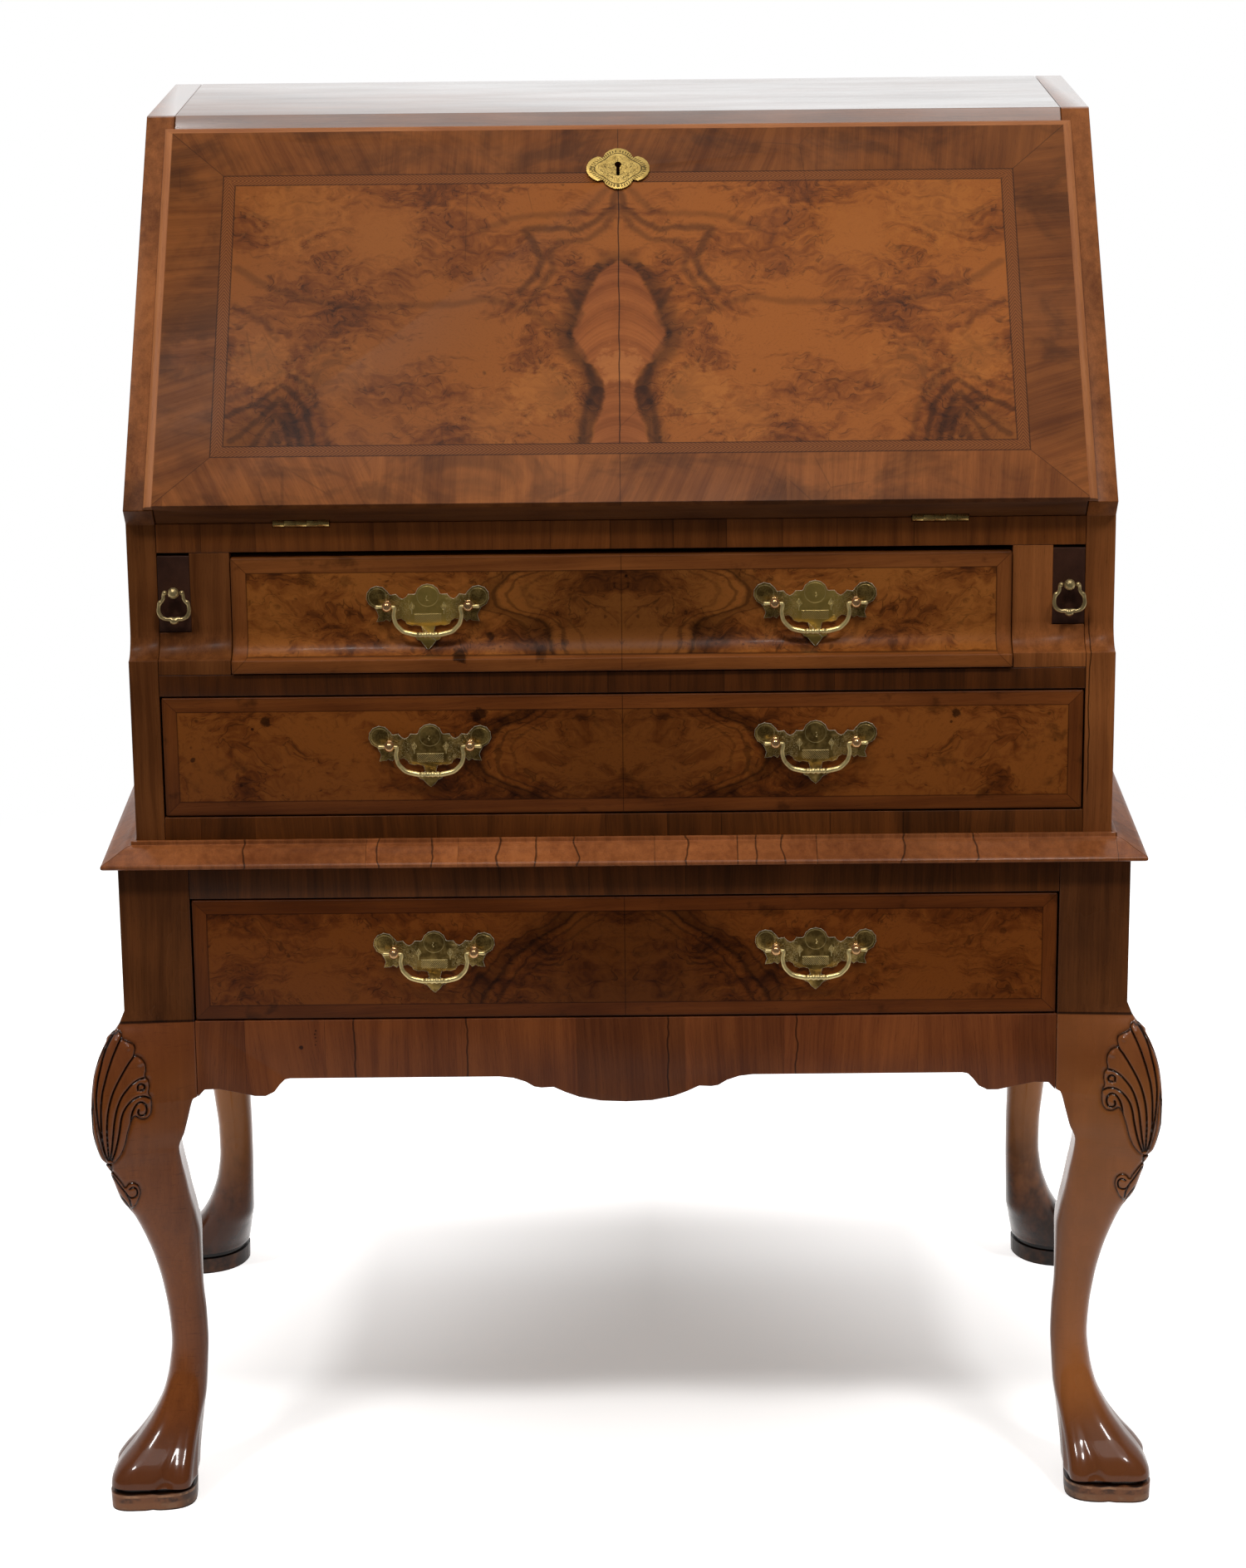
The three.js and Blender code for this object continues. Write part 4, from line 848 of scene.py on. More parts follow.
def leg_ring(shares, corner_steps, edge_places):
    """One section from the start of the outer corner round, in millimetres."""
    outer, face, side, inner, outer_round, other_round = shares
    corners = np.array([[outer, outer], [side, face], [inner, inner], [face, side]])
    inner_round = max(other_round, SLIM_ROUND) if inner > -0.9 else other_round
    rounds = [outer_round, other_round, inner_round, other_round]
    steps = [corner_steps] + [PLAIN_STEPS] * 3
    places = [edge_places, SIDE_PLACES, SIDE_PLACES, 1 - edge_places[::-1]]
    ring = []
    for i in range(4):
        corner, before, after = corners[i], corners[i - 1], corners[(i + 1) % 4]
        start = corner + (before - corner) * rounds[i]
        end = corner + (after - corner) * rounds[i]
        t = np.linspace(0, 1, steps[i])[:, None]
        ring.append((1 - t) ** 2 * start + 2 * t * (1 - t) * corner + t**2 * end)
        following = after + (corner - after) * rounds[(i + 1) % 4]
        ring.append(end + (following - end) * places[i][:, None])
    return np.concatenate(ring) * POST_SIZE


def outward(ring):
    """The direction out of a ring at each of its points."""
    run = np.roll(ring, -1, 0) - np.roll(ring, 1, 0)
    normal = np.stack([-run[:, 1], run[:, 0]], 1)
    normal /= np.maximum(np.linalg.norm(normal, axis=1, keepdims=True), 1e-9)
    middle = ring.mean(0)
    return normal if ((ring - middle) * normal).sum() > 0 else -normal


def toe_places(corner_steps, edge_places):
    """Where each point of a ring lies: 0 at the main toe, 1 at a side toe, 2 at the inside."""
    half = [edge_places, np.ones(PLAIN_STEPS), 1 + SIDE_PLACES]
    back = [part[::-1] for part in half[::-1]]
    return np.concatenate([np.zeros(corner_steps), *half, np.full(PLAIN_STEPS, 2.0), *back])


def toes(ring, height, places):
    """Parts the foot into a broad toe on its diagonal and a narrow one at either side."""
    rise = np.clip((height - 18.6) / 4, 0, 1)
    dip = 1.3 + 3.6 * rise * np.clip((44 - height) / 24, 0, 1) ** 1.5
    dip = dip * np.clip((60 - height) / 20, 0, 1) * np.exp(-(((places - 0.7) / 0.15) ** 2))
    bulge = 3.0 * rise * np.clip((62 - height) / 40, 0, 1)
    bulge = bulge * np.exp(-(((places - 1.35) / 0.24) ** 2))
    return ring + outward(ring) * (bulge - dip)[:, None], dip * rise


def carve(rings, heights, places):
    """Carves the knee and the toes into a leg's rings, and gives each point's painted shade in the
    carving's hollows and the toes' creases.
    """
    painted_shade = np.zeros(rings.shape[:2])
    rows = (heights > KNEE_FROM) & (heights < KNEE_TO)
    knee = rings[rows]
    reach = knee.max(2) > -20
    lift, dark = np.zeros(reach.shape), np.zeros(reach.shape)
    level = np.broadcast_to(heights[rows][:, None], reach.shape)
    lift[reach], dark[reach] = knee_carving(knee.min(2)[reach], level[reach])
    rings[rows] = knee + np.array([outward(ring) for ring in knee]) * lift[:, :, None]
    painted_shade[rows] = dark
    for row in np.flatnonzero(heights < 84):
        rings[row], crease = toes(rings[row], heights[row], places)
        # Painted shade in the creases between the toes
        painted_shade[row] = 0.25 * (crease / 5.0) ** 2
    return painted_shade


def carved_leg(end, side, material):
    """A cabriole leg in fine rings, carved at the knee and the toes if it is a front one."""
    carved = end == "front"
    table = FRONT_LEG if carved else BACK_LEG
    fixed = np.array(table)[:, 0]
    spacing, corner_steps, near_steps = LEG_DETAIL[end]
    knee = np.arange(KNEE_FROM, KNEE_TO, spacing)
    below = np.arange(19.5, KNEE_FROM, BELOW_KNEE)
    heights = np.unique(np.round(np.concatenate([fixed, knee, below]), 3))
    heights = heights[(np.diff(heights, prepend=-9) > 0.3) | np.isin(heights, fixed)]
    near = np.linspace(0, NEAR_PART, near_steps)[1:]
    edge_places = np.concatenate([near, np.linspace(NEAR_PART, 1, 9)[1:-1]])
    sections = eased(table, heights)
    rings = np.array([leg_ring(shares, corner_steps, edge_places) for shares in sections])
    painted_shade = np.zeros(rings.shape[:2])
    if carved:
        painted_shade = carve(rings, heights, toe_places(corner_steps, edge_places))

    # The section lies out from the post's corner, and no point leaves the part's box
    widest, deepest = cad_bounds[1][0] / MM - 0.01, -cad_bounds[0][1] / MM - 0.01
    across = np.minimum(POST_OUTER + rings[:, :, 0], widest) * (-1 if side == "left" else 1)
    back = np.minimum(POST_BACK + rings[:, :, 1], deepest) * (-1 if carved else 1)
    up = np.broadcast_to(heights[:, None], across.shape)
    name = f"leg_{end}_{side}"
    mesh = ringed(name + "_carved", np.stack([across, back, up], 2))
    hollow_shade = mesh.attributes.new("hollow_shade", "FLOAT", "POINT")
    hollow_shade.data.foreach_set("value", painted_shade.ravel())
    obj = new_object(mesh.name, mesh, material, name)
    sharp = obj.modifiers.new("edges", "EDGE_SPLIT")
    sharp.split_angle = math.radians(50)
    return obj


def leg_walnut():
    """Walnut of the legs, lighter in patches at the knees, dark at the feet, with worn soles and sooty
    back feet, and with painted shade and light.
    """
    g = Material("leg_walnut")
    place = x, y, z = g.place()
    in_front = g.smooth(y, 0.0, -100.0)
    behind = g.smooth(y, 100, 150)
    low, _ = grain(g, z, x, y, srgb(92, 47, 19), srgb(134, 74, 33), 0.8, 4.0)
    checks = g.noise(place, (0.08, 0.08, 0.9), 2.0, 0.6)
    low = g.darker(low, g.smooth(checks, 0.58, 0.72), 0.3)
    worn = g.noise(place, (0.02, 0.02, 0.012), 3.0, 0.6)
    low = g.darker(low, g.smooth(worn, 0.52, 0.7), 0.25)
    low = g.blend(g.smooth(x, -100, 100) * 0.42, low, srgb(172, 107, 57))

    # Knees, with painted shade in their carved hollows, and painted shade on the legs' inner sides
    # Lighter patches over the knees
    knee_patches = g.smooth(g.noise(place, (0.03, 0.03, 0.02)), 0.4, 0.65, 0.0, 0.6)
    knee_band = g.smooth(z, 290, 320) * g.smooth(z, 400, 380)
    low = g.blend(knee_band * knee_patches, low, srgb(122, 67, 28))
    low = g.blend(g.smooth(z, 352, 392, 0.0, 0.4), low, srgb(104, 55, 32))
    # Painted shade of the carving's hollows and rim and of the toes' creases, kept on the mesh
    hollow_shade = g.made("ShaderNodeAttribute", output="Fac", attribute_name="hollow_shade")
    low = g.darker(low, g.smooth(hollow_shade, 0.08, 0.85), 0.9)
    inner = g.smooth(abs(x), 362, 347) * g.between(z, 60, 320, 30.0)
    low = g.darker(low, inner * in_front, 0.34)

    # Feet, and soles with chipped rims and painted shade on their inner parts, under a groove darkened
    # with painted shade, and darker along their bottom edge
    low = g.blend(g.smooth(z, 95, 40) * 0.8, low, srgb(84, 45, 25))
    stain_and_shade = g.noise(place, (0.06, 0.06, 0.08), 4.0, 0.65)
    rubbed = g.blend(g.smooth(stain_and_shade, 0.42, 0.66), srgb(116, 72, 44), srgb(62, 40, 29))
    # Painted shade on the inner parts of the soles
    rubbed = g.blend(g.smooth(abs(x), 372, 364) * 0.75, rubbed, srgb(58, 48, 44))
    chipped = g.most(g.line(z, 12.8, 0.5, 1.2), g.line(z, 4.0, 1.5, 2.5) * 0.5)
    chipped = chipped * g.smooth(stain_and_shade, 0.44, 0.62, 0.15, 0.8)
    rubbed = g.blend(chipped * in_front, rubbed, srgb(176, 128, 92))
    sole = g.smooth(z, 15.4, 14.0)
    low = g.blend(sole, low, rubbed)
    # Painted shade in the groove over the soles
    wavy = z + g.sway((x, y, 0.0), 0.05, 4.0, 1.0)
    low = g.darker(low, g.between(wavy, 14.4, 18.6, 0.5), 0.88)
    low = g.darker(low, g.smooth(z, 1.8, 0.6), 0.7)

    # Legs behind: painted light that lifts them above, out of the shade they stand in, and sooty below
    low = g.blend(behind * g.smooth(z, 60, 150) * 0.85, low, srgb(160, 101, 52))
    soot = g.smooth(g.noise(place, (0.022, 0.022, 0.014), 4.0, 0.7), 0.62, 0.4, 0.25, 1.0)
    low = g.darker(low, behind * g.smooth(z, 190, 60) * soot, 0.85)

    # Square posts over the knees
    high, _ = grain(g, z, x, y, srgb(72, 38, 17), srgb(138, 80, 40), 1.0, 9.0)
    high = g.darker(high, g.smooth(y, -240.0, -254.0), 0.4)
    colour = g.blend(g.smooth(z, 415.6, 416.4), low, high)
    colour = g.darker(colour, g.line(z, 416.4, 0.6, 0.9), 0.75)
    normal = g.bump(g.noise(place, (0.03, 0.03, 0.02)), 0.0006, 0.3)
    return g.surface(
        Base_Color=colour, Roughness=g.choose(sole, g.smooth(worn, 0.3, 0.7, 0.2, 0.32), 0.6),
        Specular_IOR_Level=0.12, Normal=normal,
        Coat_Weight=0.4, Coat_Roughness=0.05, Coat_IOR=1.45, Coat_Normal=normal,
    )


# Light, floor and camera


def studio():
    """White to the camera, white behind and dark in front to a mirror, and soft lamps."""
    world = bpy.data.worlds.new("studio")
    bpy.context.scene.world = world
    world.use_nodes = True
    g = Graph(world.node_tree)
    toward_back = g.parts(g.made("ShaderNodeTexCoord", output="Generated"))[1]
    behind = g.smooth(toward_back, -0.05, 0.4, 0.07, 1.0)
    mirror = g.made("ShaderNodeBackground", ((1.0, 1.0, 1.0), behind))
    fill = g.made("ShaderNodeBackground", ((1.0, 0.99, 0.97), 0.24))
    white = g.made("ShaderNodeBackground", ((1.0, 1.0, 1.0), 1.0))
    light = g.mixed(g.shiny_ray(), fill, mirror)
    g.end("ShaderNodeOutputWorld", g.mixed(g.ray("Is Camera Ray"), light, white))

    for name, toward, share, spread in (
        ("lamp_left", (-0.568, -0.823, 1.5), 0.25, 7),
        ("lamp_right", (0.461, -0.887, 1.5), 0.24, 7),
        ("lamp_above", (0.0, -0.16, 1.0), 0.3, 50),
    ):
        lamp = bpy.data.lights.new(name, "SUN")
        lamp.energy = share * math.pi
        lamp.angle = math.radians(spread)
        lamp.color = (1.0, 0.99, 0.98)
        obj = placed(name, lamp)
        obj.location = Vector(toward) * 3.0
        obj.rotation_euler = Vector(toward).to_track_quat("Z", "Y").to_euler()


def floor_surface():
    """A pale sheet that ends in front of the desk, shown white where no shadow falls."""
    g = Material("studio_floor")
    x, y, _ = g.place()
    sheet = g.smooth(y, -1400.0, -500.0, 0.06, 0.88)
    plain = g.made("ShaderNodeBsdfDiffuse", [g.vector(sheet, sheet, sheet)])
    pale = g.made("ShaderNodeBsdfDiffuse", [(0.88, 0.88, 0.88)])

    # The shadow is lifted to the sides, behind the desk and just before it
    behind = g.most(y, 0.0) * 0.001 + g.smooth(y, 300.0, 500.0, 0.0, 0.5)
    aside = abs(x - 20.0) * 0.0012 + behind
    before = g.smooth(y, 10.0, -150.0) * g.smooth(abs(x), 340.0, 220.0, 0.03, 0.17)
    strength = g.smooth(aside, 0.05, 0.9, 0.28, 0.9) + before
    lift = g.made("ShaderNodeEmission", ((1.0, 0.985, 0.98), strength))
    lifted = g.made("ShaderNodeAddShader", (pale, lift))
    glow = g.made("ShaderNodeEmission", (None, 1.0))
    seen = g.most(g.ray("Is Camera Ray"), g.shiny_ray() * g.smooth(y, -900.0, 500.0))
    far = g.smooth(g.away(x, y), 1100.0, 1900.0)
    near = g.mixed(seen, plain, lifted)
    g.end("ShaderNodeOutputMaterial", g.mixed(far * seen, near, glow))
    return g.material


def floor():
    form = bmesh.new()
    bmesh.ops.create_grid(form, x_segments=1, y_segments=1, size=30.0)
    mesh = mesh_of(form, "floor")
    mesh.materials.append(floor_surface())
    obj = placed("floor", mesh)


# The camera that was fitted to the photograph: place in metres, turn in radians, and lens
CAMERA_PLACE = (0.0134938, -3.3897636, 1.5180472)
CAMERA_TURN = (-0.28207695, 0.01010733, 0.00141584)
CAMERA_LENS = 95.39


def camera():
    data = bpy.data.cameras.new("camera")
    data.lens = CAMERA_LENS
    data.sensor_width = 36.0
    data.sensor_fit = "AUTO"
    data.clip_end = 200.0
    turn = Euler(CAMERA_TURN, "XYZ").to_matrix() @ Matrix.Rotation(math.radians(90), 3, "X")
    obj = placed("camera", data)
    obj.matrix_world = Matrix.Translation(CAMERA_PLACE) @ turn.to_4x4()
    bpy.context.scene.camera = obj


# Veneers


def on_slope(g):
    """Across the fall, up it, and out of it from its hinge line, in millimetres."""
    x, y, z = g.place()
    back, up = y - HINGE_Y, z - HINGE_Z
    return x, (back + up) * SLOPE, (up - back) * SLOPE


def border(g, x, up, half, low, high):
    """Round a field: how far out, 1 where the frame runs up, along and across it, and mitres."""
    beside = abs(x) - half
    ends = g.most(up - high, low - up)
    upright = g.smooth(beside - ends, -0.4, 0.4)
    run, cross = g.choose(upright, x, up), g.choose(upright, up, x)
    return g.most(beside, ends), upright, run, cross, g.line(beside - ends, 0.0, 0.25, 0.4)


def burr_field(g, x, along, out, colours):
    """Book-matched burr: clouds, crowded eyes and curling threads."""
    side = abs(x)
    place = (side, along, out)
    warp = g.sway(place, (0.012, 0.016, 0.01), 60.0, 3.0, 0.6)
    curl = g.sway(place, (0.05, 0.06, 0.01), 16.0, 2.0, 0.6)
    moved = (side + warp, along + warp + curl, out)
    clouds = g.noise(moved, (0.011, 0.02, 0.01), 4.0, 0.62)
    threads = g.noise(moved, (0.03, 0.22, 0.05), 3.0, 0.6)
    mottle = g.noise(moved, (0.12, 0.16, 0.05), 3.0, 0.65)
    mixed = clouds * 0.62 + threads * 0.16 + mottle * 0.22
    dark, middle, light = colours
    stops = [(0.0, dark), (0.28, middle), (0.62, light), (1.0, light)]
    colour = g.ramp(g.smooth(mixed, 0.33, 0.67), stops)
    eyes = g.smooth(g.cells(moved, (0.09, 0.11, 0.03)), 0.2, 0.06)
    crowd = g.smooth(g.noise(place, (0.017, 0.024, 0.02)), 0.47, 0.6)
    colour = g.darker(colour, eyes * crowd, 0.45)
    winding = g.noise(moved, (0.014, 0.03, 0.01), 4.0, 0.6, 0.8)
    veins = g.most(g.line(winding, 0.46, 0.002, 0.007), g.line(winding, 0.56, 0.001, 0.005))
    colour = g.darker(colour, veins * g.smooth(clouds, 0.62, 0.46), 0.45)
    speckle = g.noise(moved, (0.5, 0.7, 0.2), 3.0, 0.7)
    return g.darker(colour, g.smooth(speckle, 0.52, 0.7), 0.22)


# Dark lines of the fall's figure: strength, half width, softness, and places across and up
FALL_VEINS = [
    (0.5, 0.8, 4.2, [(0, 302), (5, 284), (19, 268), (33, 261), (55, 262), (76, 260), (68, 246),
                     (61, 231), (66, 214), (80, 201)]),
    (0.38, 0.6, 4.5, [(0, 285), (12, 262), (26, 250), (48, 248), (56, 238), (52, 222), (60, 205),
                      (74, 188)]),
    (0.28, 0.6, 5.0, [(10, 300), (26, 279), (50, 276), (88, 272), (112, 262)]),
    (0.42, 0.7, 4.0, [(42, 202), (30, 179), (39, 156), (24, 128), (20, 108), (28, 83), (32, 50)]),
    (0.3, 0.7, 5.0, [(306, 226), (280, 206), (250, 194), (205, 186), (150, 188), (104, 194),
                     (66, 180), (50, 162)]),
    (0.25, 0.6, 4.0, [(306, 186), (280, 172), (272, 156), (284, 140)]),
    (0.5, 0.8, 3.4, [(238, 47), (246, 90), (266, 112), (284, 97), (309, 84)]),
    (0.42, 0.8, 3.2, [(247, 47), (255, 82), (268, 98), (285, 78), (304, 58)]),
    (0.38, 0.8, 3.0, [(256, 47), (263, 76), (270, 85), (283, 62), (292, 48)]),
    (0.34, 0.8, 3.0, [(264, 47), (270, 66), (276, 48)]),
    (0.3, 0.8, 3.4, [(226, 47), (234, 88), (248, 112), (266, 126), (290, 108), (309, 98)]),
    (0.3, 9.0, 16.0, [(262, 58), (272, 84), (296, 62)]),
]
# Light pools of the fall's figure: place, radius and strength
FALL_LIGHTS = [
    ((282, 134), 30, 0.3), ((258, 280), 44, 0.26), ((60, 104), 32, 0.36), ((98, 78), 30, 0.22),
    ((190, 252), 36, 0.14), ((226, 124), 34, 0.2),
]
# Half the width of the bottle-shaped figure at places up the fall
BOTTLE = [
    (40, 27), (70, 20), (103, 13), (122, 16), (138, 31), (155, 35), (172, 33), (192, 26),
    (210, 19), (224, 9), (233, 0.5), (310, 0.0),
]


def bottle(g, colour, side, along, out, wave):
    """The bottle in the middle of the fall, its dark outline, and a light lens low in it."""
    outside = side - g.curve(along, BOTTLE, 40, 310, 40) + wave
    tall = g.smooth(along, 246, 226)
    inner = g.smooth(outside, 1.5, -2.0) * tall
    dark, light = srgb(112, 56, 24), srgb(164, 94, 46)
    figure, _ = grain(g, side, along + side * side * 0.02, out, dark, light, 1.3, 3.0)
    colour = g.blend(inner * 0.85, colour, figure)
    lens = spot(g, side, along, (0.0, 128.0), 22.0) * inner
    colour = g.blend(lens * 0.45, colour, srgb(190, 118, 62))
    ring = g.smooth(outside, -1.5, 3.0) * g.smooth(outside, 22.0, 4.0) * tall
    return g.darker(colour, ring, 0.58)


def veins_and_lights(g, colour, side, along, out, wave):
    """The contours over the bottle, the long veins beside it and the peaks in the lower corners."""
    rise = g.sway((side, along, out), (0.04, 0.04, 0.02), 12.0, 3.0, 0.6)
    bent = g.vector(side + wave * 0.7, along + rise, 0.0)
    for strength, half, soft, points in FALL_VEINS:
        vein = g.smooth(g.near_line(bent, points), half + soft, half)
        colour = g.darker(colour, vein, strength)
    for place, radius, strength in FALL_LIGHTS:
        pool = spot(g, side, along, place, radius) * strength
        colour = g.blend(pool, colour, srgb(182, 112, 50))
    return colour


def fall_border(g, colour, x, along, out, surround):
    """The feather band, the crossband with its mitres, and the lines that part them."""
    over, upright, run, cross, mitre = surround
    stroke = g.sine((run + abs(over - FEATHER / 2) * 1.6) * 1.9)
    feather = g.blend(g.smooth(stroke, -1, 1), srgb(96, 50, 20), srgb(134, 78, 36))
    patch = g.math("FLOOR", (run + 1000.0) * 0.0062)
    lean = (g.hashed(patch) - 0.5) * 0.9
    dark, light = srgb(104, 53, 19), srgb(164, 96, 44)
    band, pits = grain(g, cross + run * lean, run - cross * lean, out, dark, light, 1.0, 1.0)
    smoke = g.noise((x, along, out), (0.014, 0.02, 0.01), 4.0, 0.65, 0.6)
    band = g.darker(band, g.smooth(smoke, 0.44, 0.66), 0.42)
    band = g.darker(band, g.smooth(along, 40.0, 62.0), 0.2)
    band = g.darker(band, g.hashed(patch + 7.0), 0.16)
    outer = g.smooth(over, FEATHER - 0.2, FEATHER + 0.2)
    colour = g.blend(g.smooth(over, -0.2, 0.2), colour, feather)
    colour = g.blend(outer, colour, band)
    for edge in (0.0, FEATHER):
        colour = g.darker(colour, g.line(over, edge, 0.35, 0.35), 0.6)
    centre = g.line(x, 0.0, 0.2, 0.3) * outer * (1.0 - upright)
    return g.darker(colour, g.most(mitre * outer, centre), 0.55), pits


def fall_veneer():
    """The fall: burr in two matched leaves, with a border, a light lip and a plain inside."""
    g = Material("fall_burr")
    x, along, out = on_slope(g)
    side = abs(x)
    flat = (side, along, out)
    colours = srgb(78, 38, 13), srgb(122, 64, 23), srgb(152, 86, 34)
    colour = burr_field(g, x, along, out, colours)
    colour = g.darker(colour, g.smooth(x, 60.0, -240.0), 0.2)
    wave = g.sway(flat, (0.05, 0.05, 0.02), 11.0, 3.0, 0.6)
    colour = bottle(g, colour, *flat, wave)
    colour = veins_and_lights(g, colour, *flat, wave)
    drift = g.sway((0.0, along, 0.0), (1.0, 0.03, 1.0), 2.4, 3.0)
    colour = g.darker(colour, g.line(x + drift, 0.0, 0.25, 0.5), 0.8)
    surround = border(g, x, along, FIELD_HALF, FIELD_LOW, FIELD_HIGH)
    colour, pits = fall_border(g, colour, x, along, out, surround)

    # Cracks and cuts of age
    crazed = g.cells((x, along, out), (0.011, 0.008, 0.004), "DISTANCE_TO_EDGE")
    worn = g.smooth(g.noise((x, along, out), 0.01), 0.56, 0.64)
    colour = g.darker(colour, g.smooth(crazed, 0.005, 0.001) * worn, 0.25)

    # Light lip round the panel, painted shade along the fall's lower edge, and plain inside
    _, _, run, cross, _ = surround
    lip, _ = grain(g, run, cross, out, srgb(142, 84, 50), srgb(182, 118, 72), 1.0, 5.0)
    beyond = g.most(side - LIP_SIDE, along - LIP_TOP)
    colour = g.blend(g.smooth(beyond, -0.3, 0.3), colour, lip)
    inner, _ = grain(g, x, along, out, srgb(84, 44, 20), srgb(140, 84, 42), 1.0, 8.0)
    colour = g.blend(g.smooth(out, INSIDE_FACE + 0.2, INSIDE_FACE - 0.2), colour, inner)
    # Painted shade along the fall's lower edge
    colour = g.darker(colour, g.smooth(along, 1.4, 0.6), 0.45)
    return polished(g, colour, pits, 0.36, 0.1, 0.0)


# Looks of the drawer fronts: width of the border, brightness, darkening of the middle, half the
# width of the figure at heights, and ink marks as across, up, radius and strength
FRONTS = {
    "upper": {
        "edge": 12.0, "bright": 1.0, "middle": 0.4,
        "figure": [(699, 40), (715, 52), (735, 62), (750, 96), (765, 92), (788, 40)],
        "marks": [(-245, 772, 9, 0.35), (-216, 768.5, 6, 0.3), (-126, 711, 6, 0.78),
                  (-103, 724, 4.5, 0.66), (-62, 712, 6, 0.48), (-44, 718.5, 3.5, 0.4),
                  (4, 771, 1.4, 0.8)],
    },
    "lower": {
        "edge": 11.5, "bright": 0.74, "middle": 0.3,
        "figure": [(583, 20), (600, 70), (625, 110), (650, 96), (668, 66), (680, 60)],
        "marks": [(-281, 660, 5, 0.75), (-291, 654, 1.6, 0.8), (-339, 629, 2.2, 0.7),
                  (-113, 664, 8, 0.75), (-93, 659, 6, 0.45), (-301, 608, 1.6, 0.6),
                  (262, 662, 4.5, 0.75), (258, 655, 1.4, 0.7)],
    },
    "stand": {
        "edge": 11.5, "bright": 0.58, "middle": 0.45,
        "figure": [(417, 120), (430, 112), (455, 96), (480, 70), (500, 40), (517, 20)],
        "marks": [(-268, 470, 2.2, 0.5), (300, 486, 3, 0.4)],
    },
}


def drawer_veneer(row, seed):
    """A drawer front with a mitred border round book-matched veneer."""
    look = FRONTS[row]
    tint = [look["bright"] ** power for power in (1, 1.35, 1.8)]

    def toned(*screen):
        return tuple(part * share for part, share in zip(srgb(*screen), tint))

    g = Material("drawer_veneer_" + row)
    x, y, z = g.place()
    side = abs(x)
    half = span("drawer_front_" + row, 0)[1]
    low, high = span("drawer_front_" + row, 2)
    colours = toned(70, 34, 12), toned(122, 66, 24), toned(150, 88, 36)
    colour = burr_field(g, x, z + seed * 211.0, y, colours)
    wave = g.sway((side, z, y), (0.04, 0.05, 0.02), 22.0, 3.0, 0.6)
    edge = side - g.curve(z, look["figure"], low, high, 160) + wave
    broad = g.smooth(edge, -3.0, 1.5) * g.smooth(edge, 34.0, 2.0)
    colour = g.darker(colour, broad, 0.42)
    lines = g.smooth(g.sine(edge * 0.5), 0.35, 1.0) * g.smooth(abs(edge), 40.0, 8.0)
    colour = g.darker(colour, lines, 0.42)
    colour = g.darker(colour, g.smooth(side, 135.0, 25.0), look["middle"])

    wide = look["edge"]
    over, _, run, cross, mitre = border(g, x, z, half - wide, low + wide, high - wide)
    dark, light = toned(96, 50, 20), toned(142, 82, 38)
    band, pits = grain(
        g, run + cross * 0.35, cross - run * 0.04, y, dark, light, 1.0, seed + 2.0
    )
    outer = g.smooth(over, -0.2, 0.2)
    colour = g.blend(outer, colour, band)
    colour = g.darker(colour, g.line(over, 0.0, 0.3, 0.35), 0.5)
    colour = g.darker(colour, mitre * outer, 0.4)
    colour = g.darker(colour, g.line(x, 0.0, 0.2, 0.4), 0.5)
    stains = g.noise((x, z, y), (0.03, 0.035, 0.03), 4.0, 0.6)
    colour = g.darker(colour, g.smooth(stains, 0.6, 0.72), 0.45)
    colour = g.darker(colour, g.smooth(over, wide - 3.0, wide), 0.25)
    colour = marked(g, colour, x, z, look["marks"])
    return polished(g, colour, pits, 0.32, 0.1, 0.03)


def crossbanded(
    name, patch, dark, light, axis="x", seed=0.0, lean=0.2, rough=0.3, joints=0.5, marks=(),
    cracks=(), shades=(), bent=16.0,
):
    """Short pieces of veneer laid side by side, with their grain across the run."""
    g = Material(name)
    x, y, z = g.place()
    run, depth = (x, y) if axis == "x" else (y, x)
    jitter = g.noise((run, 0.0, 0.0), 0.01) * 1.4
    slot = (run + (2000.0 + seed)) * (1.0 / patch) + jitter
    number = g.math("FLOOR", slot)
    tilt = (g.hashed(number) - 0.5) * lean
    colour, pits = grain(g, z + run * tilt, run - z * tilt, depth, dark, light, 1.1, seed)
    colour = g.darker(colour, g.hashed(number + 13.0), 0.28)
    part = g.math("FRACT", slot)
    seam = g.smooth(g.least(part, 1.0 - part), 0.6 / patch, 0.15 / patch)
    seam = seam * g.smooth(g.hashed(number + 29.0), 0.45, 0.55)
    colour = g.darker(colour, seam, joints)
    for start, end, strength in shades:
        colour = g.darker(colour, g.between(run, start, end, 0.4), strength)
    if cracks:
        wavy = run + g.sway((run, z, 0.0), (0.02, 0.055, 1.0), bent)
        nearest = abs(wavy - cracks[0])
        for crack in cracks[1:]:
            nearest = g.least(nearest, abs(wavy - crack))
        colour = g.darker(colour, g.smooth(nearest, 1.0, 0.35), 0.72)
    colour = marked(g, colour, x, z, marks)
    return polished(g, colour, pits, rough, extra=seam * -0.2)


def stand_crossband():
    """The apron's and the stand sides' veneer, with ink marks, four cracks and darker pieces."""
    drops = [(-248.0, 407.0, 1.0, 0.7), (-248.6, 404.0, 1.0, 0.7), (-248.2, 401.0, 1.0, 0.7),
             (-247.8, 398.0, 0.9, 0.7), (-248.4, 395.0, 0.9, 0.7)]
    return crossbanded(
        "stand_crossband", 88.0, srgb(92, 44, 21), srgb(142, 78, 38), seed=5.0,
        marks=[(-259.6, 392.6, 2.2, 0.8), *drops], cracks=[-217.0, -127.0, 34.0, 136.4],
        shades=[(-39.5, 47.6, 0.3), (314.0, 345.0, 0.2), (-343.0, -246.0, 0.1)], bent=5.0,
    )


